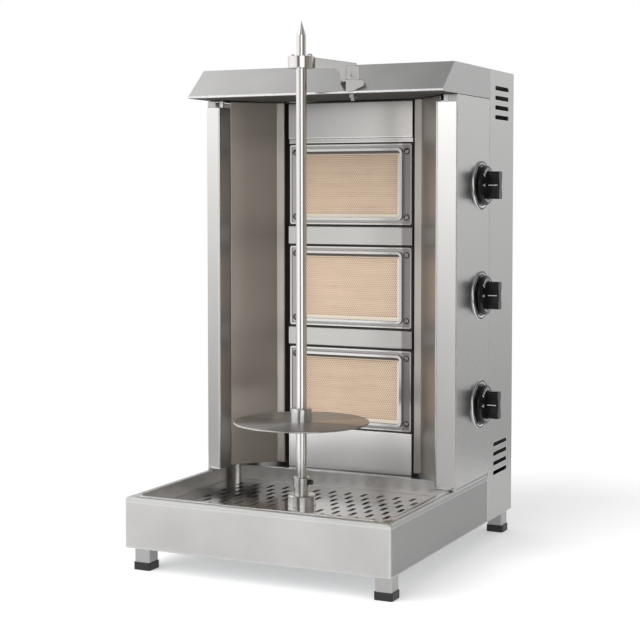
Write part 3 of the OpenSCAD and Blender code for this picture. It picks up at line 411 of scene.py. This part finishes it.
sheet_warm = brushed("brushed_steel_warmed", (0.53, 0.491, 0.45), 0.34, "z",
                     contrast=0.22, cloudy=0.35, darkened=darkened_round_burners)
sheet_column = brushed("brushed_steel_panel", (0.58, 0.565, 0.55), 0.24, "x", contrast=0.20,
                       depth=2 * MICRON, darkened=darkened_at_left, cloudy=0.35)
sheet_low = brushed("brushed_steel_low_panel", (0.86, 0.84, 0.825), 0.32, "x",
                    depth=2 * MICRON, cloudy=0.3, fold_highlight=0.3)
sheet_burner = brushed("brushed_steel_burner_frame", (0.52, 0.51, 0.50), 0.22, "x",
                       contrast=0.06, depth=1.5 * MICRON, deep_shaded=round_screws,
                       darkened=darkened_at_right, edge=0.0006, fold_highlight=0.25)
sheet_frame = brushed("brushed_steel_column", (0.50, 0.49, 0.475), 0.36, "x",
                      depth=1.5 * MICRON, deep_shaded=behind_bars, darkened=darkened_at_right,
                      edge=0.0006, fold_highlight=0.3)
sheet_arm = brushed("brushed_steel_arm", (0.34, 0.335, 0.33), 0.24, "y", depth=MICRON,
                    cloudy=0.5, fold_highlight=0.8)
sheet_tray = brushed("brushed_steel_tray", (0.68, 0.665, 0.65), 0.24, "x", depth=2 * MICRON,
                     darkened=darkened_at_left, cloudy=0.30, edge=0.0030, fold_highlight=0.8)
print(len(bpy.data.materials), "materials so far")

# %% [markdown]
# ## Polished, turned and cast metals
# The slotted plate is wiped clean and mirrors what is round it, under a faint haze and short
# wiping marks. The spit and its fittings come from a lathe. Its rings are too fine to model, and
# what they do is smear a reflection along the axis, which the shader's anisotropy gives.

# %% Smooth metals
WIPING = 700.0
WIPING_GLOSS = 0.06
HAZED = 0.90            # what haze leaves of the colour
LATHE_TURN = 0.25       # a quarter turn lays the smear along the axis


def polished(name, colour, rough, haze_size=14.0, haze_share=0.10, direction="x",
             depth=4 * MICRON, turned=0.0):
    finish = Finish(name)
    wiping = grain(finish, direction, WIPING)
    haze = clouds(finish, haze_size)
    roughness = (haze - 0.5) * haze_share + (wiping - 0.5) * WIPING_GLOSS + rough
    finish.set(Base_Color=finish.mix(haze, shade(colour, HAZED), colour), Metallic=1.0,
               Roughness=roughness.clamp(), Anisotropic=turned, Anisotropic_Rotation=LATHE_TURN)
    if depth:
        finish.bump(wiping, depth)
    return finish.material


plate_steel = polished("polished_plate_steel", (0.80, 0.785, 0.77), 0.16, direction="y")
spit_steel = polished("polished_spit_steel", (0.72, 0.705, 0.69), 0.16, haze_share=0.03,
                      direction="z", depth=0.0, turned=0.95)
fitting_steel = polished("turned_fitting_steel", (0.72, 0.71, 0.695), 0.24, haze_share=0.04,
                         direction="z", depth=0.0, turned=0.95)
screw_steel = polished("screw_steel", (0.34, 0.335, 0.33), 0.28)
zinc = polished("galvanised_sheet", (0.56, 0.57, 0.58), 0.42, haze_size=60.0, haze_share=0.22)
cast_grey = polished("cast_aluminium", (0.50, 0.51, 0.52), 0.50, haze_size=140.0,
                     haze_share=0.15)
brass = polished("machined_brass", (0.76, 0.60, 0.32), 0.27, haze_size=30.0)
print("smooth metals ready")

# %% [markdown]
# ## Chromed bezels
# Each gas knob sits on a chromed ring with a black seat, and a thin dark ring is painted on the
# chrome as a painted reflection. Both are shallow and round, so distance from the knob's axis
# tells chrome from black, with one material for all.

# %% Chrome with a painted dark ring
# Where a dark ring is painted on the chrome as a painted reflection, and the black seat inside it.
DARK_RING_INSIDE, DARK_RING_OUTSIDE = 0.0408, 0.0440
SEAT_RADIUS = 0.0385
SEAT_AND_RING_BLACK = (0.025, 0.025, 0.026)


def ringed_bezel():
    finish = Finish("chromed_bezel")
    x, y, z = finish.parts(finish.place())
    low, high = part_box("knob_bezel_middle")
    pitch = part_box("knob_bezel_top")[0].z - low.z
    radius = length(y - (low.y + high.y) / 2, off_nearest(z, (low.z + high.z) / 2, pitch))
    # Painted reflection: a thin dark ring on the chrome, in the same black as the seat.
    dark_ring = (radius > DARK_RING_INSIDE) * (radius < DARK_RING_OUTSIDE)
    black = (radius < SEAT_RADIUS) + dark_ring
    haze = clouds(finish, 40.0)
    metal = finish.mix(haze, (0.60, 0.60, 0.605), (0.68, 0.68, 0.685))
    finish.set(Base_Color=finish.mix(black, metal, SEAT_AND_RING_BLACK), Metallic=1 - black,
               Roughness=(haze * 0.05 + black * 0.15 + 0.06).clamp())
    finish.bump(haze, 10 * MICRON, fold=finish.fold(0.0005))
    return finish.material


chrome = ringed_bezel()
print("chrome ready")

# %% [markdown]
# ## The meat plate
# A round plate is finished on a lathe, so its scratches run in rings round the spit. Noise that
# depends only on the distance from the axis gives those rings. Light falls on such rings as a fan
# of brighter and darker rays, and noise that depends only on the angle paints that fan on them as
# a painted sheen. The left of the plate is painted lighter, as painted light.

# %% Turned rings
RING_SIZE, FAN_SIZE = 1400.0, 2.6
# Where the painted light on the left of the plate starts and where it is full.
LEFT_LIGHT_FROM, LEFT_LIGHT_TO = 0.06, -0.10
RING_TONE, HAZE_TONE, FAN_TONE, LEFT_LIGHT_TONE, LEAST_TONE = 0.35, 0.15, 0.8, 0.6, 0.15
low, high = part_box("spit")
spit_x, spit_y = (low.x + high.x) / 2, (low.y + high.y) / 2


def ringed(name, colour, rough):
    finish = Finish(name)
    x, y, z = finish.parts(finish.place())
    away_x, away_y = x - spit_x, y - spit_y
    lines = {"noise_dimensions": "1D"}
    rings = finish.node("TexNoise", lines, W=length(away_x, away_y), Scale=RING_SIZE,
                        Detail=2.0, Roughness=0.6)
    # Painted sheen: a fan of lighter and darker rays round the axis.
    fan = finish.node("TexNoise", lines, W=away_y.maths("ARCTAN2", away_x), Scale=FAN_SIZE,
                      Detail=3.0, Roughness=0.6)
    haze = clouds(finish, 12.0)
    # Painted light: the plate is lighter towards the left.
    left_light = share_of(away_x, LEFT_LIGHT_FROM, LEFT_LIGHT_TO)
    tone = ((rings - 0.5) * RING_TONE + (haze - 0.5) * HAZE_TONE + (fan - 0.5) * FAN_TONE +
            left_light * LEFT_LIGHT_TONE + LEAST_TONE)
    finish.set(Base_Color=finish.mix(tone.clamp(), shade(colour, 0.60), shade(colour, 1.45)),
               Metallic=1.0, Roughness=((rings - 0.5) * 0.12 + rough).clamp(),
               Anisotropic=0.8, Anisotropic_Rotation=LATHE_TURN)
    finish.bump(rings, 10 * MICRON)
    return finish.material


disc_steel = ringed("turned_meat_plate", (0.50, 0.49, 0.485), 0.37)
print("meat plate's finish ready, axis at", [round(v, 4) for v in (spit_x, spit_y)])

# %% [markdown]
# ## Black plastic
# Knobs and foot caps are moulded in black plastic with a fine eroded grain. It is never pure
# black, and rubbed places are a little glossier. Fine noise gives the grain and a soft, wide one
# the rubbing.

# %% Moulded plastic
PORE_SIZE = 900.0


def moulded(name, colour, rough, depth=20 * MICRON, shine=0.5):
    finish = Finish(name)
    pores = finish.noise(finish.place(), PORE_SIZE)
    rubbed = clouds(finish, 25.0)
    finish.set(Base_Color=finish.mix(rubbed, shade(colour, 0.75), colour),
               Roughness=((rubbed - 0.5) * 0.16 + (pores - 0.5) * 0.08 + rough).clamp(),
               Specular_IOR_Level=shine)
    finish.bump(pores, depth)
    return finish.material


knob_plastic = moulded("black_knob_plastic", (0.008, 0.008, 0.009), 0.20, depth=6 * MICRON,
                       shine=0.28)
foot_plastic = moulded("black_foot_plastic", (0.012, 0.012, 0.013), 0.45)
print("plastics ready")

# %% [markdown]
# ## Burner plates, cold
# Each burner plate is pressed ceramic with hundreds of small holes in staggered rows, between
# faint ridges. Cold, it is the colour of biscuit. The holes are too small for geometry, so they
# are a pattern in colour and bump: space is cut into cells, and each cell draws one round hole.
# The pale border has no holes.

# %% Rows of holes
HOLE_PITCH = 0.0040
ROW_PITCH = 0.87            # of a hole's pitch, as rows lie closer when they are staggered
HOLE_RADIUS, HOLE_EDGE = 0.19, 8.0
HOLED_X, HOLED_Z = 0.0955, 0.0555
ROWS_IN_RIDGE = 6.0
ceramic_low, ceramic_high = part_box("ceramic_plate_middle")
ceramic_x = (ceramic_low.x + ceramic_high.x) / 2


def rows_of_holes(x, up):
    row = up.maths("FLOOR")
    shifted = (x - ceramic_x) / HOLE_PITCH + row.maths("MODULO", 2.0) * 0.5
    gap = length(shifted.maths("FRACT") - 0.5, (up.maths("FRACT") - 0.5) * ROW_PITCH)
    return (1 - (gap - HOLE_RADIUS) * HOLE_EDGE).clamp()


print("holes", HOLE_PITCH, "apart")

# %% [markdown]
# ## Biscuit, baked and stained
# Gas flames bake the face unevenly. Colours are laid over each other from large to small: baked
# patches, stains along the rows, painted shade where two ridges meet, the pale border, a painted
# shadow of the frame's lip along the top edge, and last the holes, whose dark is painted shade. A
# hole is deeper and darker near the border than in the middle.

# %% Ceramic
# Painted shadow of the frame's lip: how far above the middle it starts.
LIP_SHADOW_ABOVE = 0.0568
STAIN_FROM, STAIN_EDGE, STAIN_MOST = 0.52, 3.2, 0.55
# How strong the painted shade where ridges meet, the painted lip shadow and the painted shade in
# the holes are.
RIDGE_SHADE_MOST, LIP_SHADOW_MOST, HOLE_SHADE_MOST = 0.16, 0.85, 0.95
HOLE_IN_MIDDLE = 0.45                     # how deep and dark a hole still is in the middle
FINE_HEIGHT, RIDGE_HEIGHT, PRESSED = 0.15, 0.25, 0.0004
BISCUIT, BISCUIT_PALE = (0.735, 0.555, 0.41), (0.83, 0.65, 0.495)
# Stains, the painted shade where two ridges meet, and the pale border.
STAIN, RIDGE_SHADE, BORDER = (0.50, 0.36, 0.26), (0.58, 0.42, 0.31), (0.86, 0.76, 0.64)
# The painted shadow of the lip, and the painted shade in the holes.
LIP_SHADOW, HOLE_SHADE = (0.10, 0.08, 0.07), (0.16, 0.10, 0.07)


def pressed_ceramic(name, centre_z):
    finish = Finish(name)
    x, y, z = finish.parts(finish.place())
    up = (z - centre_z) / (HOLE_PITCH * ROW_PITCH)
    off_x, off_z = abs(x - ceramic_x), abs(z - centre_z)
    inside = (off_x < HOLED_X) * (off_z < HOLED_Z)
    rim = (off_x / HOLED_X).maths("MAXIMUM", off_z / HOLED_Z) ** 8.0
    hole = rows_of_holes(x, up) * inside * (rim * (1 - HOLE_IN_MIDDLE) + HOLE_IN_MIDDLE)
    from_ridge = (up / ROWS_IN_RIDGE).maths("FRACT") - 0.5
    ridge = from_ridge * from_ridge * 4.0
    streaks = finish.noise(finish.stretched(12.0, 1.0, 260.0), 1.0, detail=3.0, rough=0.7)
    baked = finish.noise(finish.place(), 22.0, detail=4.0, rough=0.6)
    fine = finish.noise(finish.place(), 500.0)
    stained = ((streaks - STAIN_FROM) * STAIN_EDGE * inside).clamp() * STAIN_MOST
    body = finish.mix(baked, BISCUIT, BISCUIT_PALE)
    body = finish.mix(stained, body, STAIN)
    # Painted shade where two ridges meet.
    body = finish.mix((ridge * RIDGE_SHADE_MOST * inside).clamp(), body, RIDGE_SHADE)
    body = finish.mix(inside, BORDER, body)
    # Painted shadow of the frame's lip along the top edge.
    body = finish.mix((z > centre_z + LIP_SHADOW_ABOVE) * LIP_SHADOW_MOST, body, LIP_SHADOW)
    # Painted shade in the holes, stronger near the border.
    finish.set(Base_Color=finish.mix((hole * HOLE_SHADE_MOST).clamp(), body, HOLE_SHADE),
               Roughness=((fine - 0.5) * 0.1 + 0.86).clamp(), Specular_IOR_Level=0.25)
    finish.bump(fine * FINE_HEIGHT - hole - ridge * RIDGE_HEIGHT, PRESSED)
    return finish.material


ceramics = {}
for level in LEVELS:
    low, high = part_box("ceramic_plate_" + level)
    ceramics[level] = pressed_ceramic("pressed_ceramic_" + level, (low.z + high.z) / 2)
print(len(ceramics), "ceramic plates ready")

# %% [markdown]
# ## Give every node its finish
# One table keeps this in one place. Sheet metal takes the grain that its fold gives it: upright on
# wings and side panels, lengthwise on the canopy and the bars. Parts that come three times, once
# for each burner, are named by level.

# %% Table of finishes
def at_levels(*names):
    return [name + "_" + level for name in names for level in LEVELS]


FINISHES = {
    sheet_box: ["base_housing"],
    zinc: ["base_floor", *at_levels("burner_box")],
    sheet_up: ["left_side_panel", "right_side_panel"],
    sheet_leg: ["leg_front_left", "leg_front_right", "leg_rear_left", "leg_rear_right"],
    sheet_arm: ["top_arm", "arm_bracket"],
    sheet_wing: ["left_wing", "right_wing"],
    sheet_warm: ["left_reflector", "right_reflector"],
    sheet_deep: ["rear_cover"],
    sheet_across: ["canopy"],
    sheet_frame: ["column_frame"],
    sheet_column: ["top_panel"],
    sheet_low: ["lower_panel"],
    sheet_burner: at_levels("burner_frame"),
    sheet_tray: ["drip_pan"],
    foot_plastic: ["foot_caps", "cable_gland"],
    knob_plastic: ["thumb_screw", *at_levels("knob")],
    plate_steel: ["perforated_plate"],
    cast_grey: ["gear_motor"],
    fitting_steel: ["bearing_boss", "drive_socket", "disc_hub", "ring_gate", "ring_pins"],
    spit_steel: ["spit"],
    disc_steel: ["meat_disc"],
    screw_steel: ["disc_set_screw", "bracket_bolts", "frame_screws", *at_levels("valve_spindle")],
    brass: ["gas_manifold", *at_levels("gas_valve", "valve_plug")],
    chrome: at_levels("knob_bezel"),
}
FINISHES.update({ceramics[level]: ["ceramic_plate_" + level] for level in LEVELS})
for material, names in FINISHES.items():
    for name in names:
        nodes[name].data.materials.clear()
        nodes[name].data.materials.append(material)
print("nodes without a finish:", sorted(set(nodes).difference(*FINISHES.values())))

# %% [markdown]
# ## Helpers that make small pieces
# A piece is made in mesh code, put in place in the frame's own coordinates, given its finish and
# hung on the body that carries it. One helper does the steps that are the same for each piece.

# %% Make, finish and hang a piece
SHARP_FROM = 35.0


def piece(name, mesh_maker, material, body):
    mesh = bpy.data.meshes.new(name)
    shape = bmesh.new()
    mesh_maker(shape)
    bmesh.ops.recalc_face_normals(shape, faces=shape.faces)
    shape.to_mesh(mesh)
    shape.free()
    made = bpy.data.objects.new(name, mesh)
    bpy.context.scene.collection.objects.link(made)
    mesh.materials.append(material)
    mesh.shade_smooth()
    mesh.set_sharp_from_angle(angle=math.radians(SHARP_FROM))
    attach(made, body)
    return made


def slab(shape, centre, size, turn=Matrix.Identity(3)):
    for vert in bmesh.ops.create_cube(shape, size=1.0)["verts"]:
        vert.co = Vector(centre) + turn @ Vector([vert.co[i] * size[i] for i in range(3)])


print("piece helpers ready")

# %% [markdown]
# ## White print
# The marks are printed in white ink, a little worn from being wiped. It is matt, next to the
# glossy knob.

# %% White print
def white_paint():
    finish = Finish("white_print")
    wear = finish.noise(finish.place(), 600.0, detail=3.0)
    finish.set(Base_Color=finish.mix(wear, (0.74, 0.74, 0.72), (0.86, 0.86, 0.84)),
               Roughness=(wear * 0.2 + 0.45).clamp())
    return finish.material


print_white = white_paint()
print("white print ready")

# %% [markdown]
# ## Marks on the knobs
# A white line is printed along the ridge of each grip. The skirt carries a short barred line for
# off and two arcs of growing dots, for low to high. A texture could draw them, but thin raised
# slabs stay sharp from near and need no picture. They ride with their knob and turn with it.

# %% Pointer lines and dial dots
PRINT = 0.00025                                     # thickness of the ink
SKIRT_FACE, GRIP_FACE = 0.00805, 0.00642            # where the ink lies on skirt and grip
LINE_MIDDLE, LINE_LENGTH, LINE_WIDTH = 0.0185, 0.017, 0.0014
OFF_MIDDLE, OFF_LENGTH = 0.0240, 0.0110
BAR_MIDDLE, BAR_WIDTH, BAR_LENGTH = 0.0200, 0.0024, 0.0052
ARC_STARTS, ARC_MIDDLE, DOT_STEP = (0, 180), 12, 13     # degrees
DOT_RADIUS, DOT_WIDTH, DOT_LENGTH, DOT_GROWTH = 0.0290, 0.0026, 0.0030, 0.0008
DOTS_BESIDE = 3                                     # dots on each side of an arc's middle

for level in LEVELS:
    low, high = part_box("knob_" + level)
    skirt = Vector((low.x + SKIRT_FACE, (low.y + high.y) / 2, (low.z + high.z) / 2))

    def marks(shape):
        slab(shape, (low.x + LINE_MIDDLE, skirt.y - GRIP_FACE, skirt.z),
             (LINE_LENGTH, PRINT, LINE_WIDTH))
        slab(shape, skirt - Vector((0, OFF_MIDDLE, 0)), (PRINT, OFF_LENGTH, LINE_WIDTH))
        slab(shape, skirt - Vector((0, BAR_MIDDLE, 0)), (PRINT, BAR_WIDTH, BAR_LENGTH))
        for start in ARC_STARTS:
            for step in range(-DOTS_BESIDE, DOTS_BESIDE + 1):
                turn = math.radians(start + ARC_MIDDLE + step * DOT_STEP)
                along = Matrix.Rotation(turn, 3, "X")
                size = (PRINT, DOT_WIDTH, DOT_LENGTH + DOT_GROWTH * (step + DOTS_BESIDE))
                slab(shape, skirt + along @ Vector((0, 0, DOT_RADIUS)), size, along)

    piece("knob_marks_" + level, marks, print_white, "knob_" + level)
print("knob marks ready")

# %% [markdown]
# ## Which rays see white
# The photo's background is plain white, and so much white light would wash out the steel. Light
# Path tells what kind of ray asks. So the floor and the background can answer the eye, metal and
# clear things in one way, and the rays that carry light round the scene in another.

# %% Kinds of rays
def seen_by(home, *kinds):
    return sum(home.node("LightPath", output="Is %s Ray" % kind) for kind in kinds).clamp()


print("kinds of rays ready")

# %% [markdown]
# ## The floor
# A wide round disc just under the feet takes the shadow. It has a faint speckle, so that it isn't
# a flat colour. It also has a little light of its own, which lifts it towards white. Only the
# eye, metal and clear things see that light, so it doesn't light the grill from below.

# %% Floor
FLOOR_RADIUS = 1.05
FLOOR_GAP = 0.0003
FLOOR_LIFT = 0.31
centre_x, centre_y = (cad_low.x + cad_high.x) / 2, (cad_low.y + cad_high.y) / 2
floor_mesh = bpy.data.meshes.new("studio_floor")
shape = bmesh.new()
bmesh.ops.create_circle(shape, cap_ends=True, segments=96, radius=FLOOR_RADIUS)
shape.to_mesh(floor_mesh)
shape.free()
floor = bpy.data.objects.new("studio_floor", floor_mesh)
bpy.context.scene.collection.objects.link(floor)
floor.location = (centre_x, centre_y, cad_low.z - FLOOR_GAP)
floor_finish = Finish("pale_floor")
speckle = floor_finish.noise(floor_finish.place(), 40.0)
seen = seen_by(floor_finish, "Camera", "Glossy", "Transmission")
floor_finish.set(Base_Color=floor_finish.mix(speckle, (0.79, 0.79, 0.79), (0.81, 0.81, 0.81)),
                 Roughness=(speckle * 0.1 + 0.85).clamp(), Specular_IOR_Level=0.0,
                 Emission_Color=floor_finish.mix(seen, (0, 0, 0), (1, 1, 1)),
                 Emission_Strength=FLOOR_LIFT)
floor_mesh.materials.append(floor_finish.material)
print("floor at", round(floor.location.z, 4))

# %% [markdown]
# ## The tent round the grill
# Brushed steel looks like what it mirrors, so it needs something round it. A photographer hangs
# white cloth and leaves gaps. Here the cloth is in the world: a ramp round the horizon, darker or
# lighter towards the ground, and a roof that is white at the left and grey at the right.

# %% The walls of the tent
# Each stop is a direction round the tent, in degrees from the front, and how bright it is there.
TENT = [(-180, 0.66), (-108, 0.98), (-84, 1.25), (-44, 1.32), (-26, 1.12), (-14, 1.12),
        (-7, 0.20), (11, 0.20), (17, 1.60), (50, 1.60), (57, (0.20, 0.18, 0.155)),
        (78, (0.27, 0.24, 0.21)), (104, (0.40, 0.36, 0.32)), (130, 0.60), (154, 0.97),
        (180, 0.66)]
# And how much darker it gets there towards the ground, or lighter where the number is below 0.5.
DROP = [(-180, 0.65), (-72, 0.70), (-26, 0.05), (4, 0.5), (20, 1.0), (46, 0.2), (130, 0.65),
        (154, 0.70), (180, 0.65)]
FADE_LOW, FADE_HIGH, FADE_MIDDLE = -0.16, 0.12, 0.02    # heights between which it changes
FADE_SLOPE, FADE_LEAST = 4.5, 0.40
world = bpy.data.worlds.new("studio_tent")
bpy.context.scene.world = world
world.use_nodes = True
tent = Nodes(world.node_tree)
x, y, z = tent.parts(tent.node("TexCoord", output="Generated"))
round_it = x.maths("ARCTAN2", 0.0 - y) / math.tau + 0.5
wall, drop = (tent.ramp(round_it, [(angle / 360 + 0.5, level) for angle, level in stops])
              for stops in (TENT, DROP))
height = z.maths("MINIMUM", FADE_HIGH).maths("MAXIMUM", FADE_LOW) - FADE_MIDDLE
fade = (height * FADE_SLOPE * ((drop - 0.5) * 2.0) + 1.0).maths("MAXIMUM", FADE_LEAST)
print(len(TENT), "stops round the tent")

# %% [markdown]
# ## Roof and window
# Overhead hangs a white cloth at the left, and grey cloth over the rest. One small bright window
# at the front left draws the crisp highlights on round edges. An angle from its direction gives
# the window its round shape, and a steep slope its edge.

# %% The roof and the window of the tent
CLOTH_LEFT_FROM, CLOTH_EDGE = 0.36, 6.0
ROOF_GREY = 0.37
ROOF_FROM, ROOF_EDGE = 0.35, 2.5
WINDOW = Vector((-0.43, -0.70, 0.57)).normalized()
WINDOW_COSINE, WINDOW_EDGE, WINDOW_LEVEL = 0.990, 250.0, 3.0
is_high = ((z - ROOF_FROM) * ROOF_EDGE).clamp()
overhead = ((0.0 - x - CLOTH_LEFT_FROM) * CLOTH_EDGE).clamp() + ROOF_GREY
towards_window = x * WINDOW.x + y * WINDOW.y + z * WINDOW.z
shine = ((towards_window - WINDOW_COSINE) * WINDOW_EDGE).clamp() * WINDOW_LEVEL
light = overhead * is_high + shine
sides = tent.node("VectorMath", {"operation": "SCALE"}, Vector=wall, Scale=fade * (1 - is_high))
roof = tent.node("CombineColor", Red=light, Green=light, Blue=light)
cloth = tent.node("VectorMath", {"operation": "ADD"}, {0: sides, 1: roof})
print("roof starts at", ROOF_FROM)

# %% [markdown]
# ## Who sees the tent
# Metal sees the tent. The eye and clear things see plain white. All else is lit by an even grey,
# at a level at which a colour renders about as it is written.

# %% Background
PLAIN_LEVEL = (0.68, 0.68, 0.68)
plain = tent.mix(seen_by(tent, "Camera", "Transmission"), PLAIN_LEVEL, (1.0, 1.0, 1.0))
background = tent.tree.nodes["Background"]
tent.feed(background.inputs["Color"], tent.mix(seen_by(tent, "Glossy"), plain, cloth))
tent.feed(background.inputs["Strength"], 1.0)
print("tent ready")

# %% [markdown]
# ## The lamp
# A large lit cloth at the front left models the shapes and throws the soft shadow. A sun lamp with
# a wide angle is the simplest lamp that does so evenly over the whole grill. It is hidden from
# mirrors, because the tent already shows them its own bright cloth.

# %% Lamp
KEY_LEVEL, KEY_SPREAD = 2.1, 50
KEY_SHINES = (0.36, 0.74, -0.66)
sun_data = bpy.data.lights.new("key_cloth", "SUN")
sun_data.energy, sun_data.angle = KEY_LEVEL, math.radians(KEY_SPREAD)
sun = bpy.data.objects.new("key_cloth", sun_data)
bpy.context.scene.collection.objects.link(sun)
sun.visible_glossy = False
sun.rotation_mode = "QUATERNION"
sun.rotation_quaternion = Vector(KEY_SHINES).to_track_quat("-Z", "Y")
print("lamp ready")

# %% [markdown]
# ## The camera
# The photograph was taken with a long lens from a little above the burners, about 26 degrees to
# the right of the front. It looks down a little, and the rest of the framing is lens shift, so
# that upright edges stay nearly upright.

# %% Camera
CAMERA = {"spot": (1.146, -2.4749, 0.6538), "yaw": 0.44786, "pitch": 0.05, "lens": 84.1,
          "shift": -0.0806}
SENSOR_WIDTH = 36.0
camera_data = bpy.data.cameras.new("photo_camera")
camera_data.sensor_width = SENSOR_WIDTH
camera_data.lens = CAMERA["lens"]
camera_data.shift_y = CAMERA["shift"]
camera = bpy.data.objects.new("photo_camera", camera_data)
bpy.context.scene.collection.objects.link(camera)
camera.location = CAMERA["spot"]
camera.rotation_euler = (math.pi / 2 - CAMERA["pitch"], 0, CAMERA["yaw"])
bpy.context.scene.camera = camera
bpy.context.scene.view_settings.view_transform = "Standard"
print("camera at", [round(v, 3) for v in camera.location])
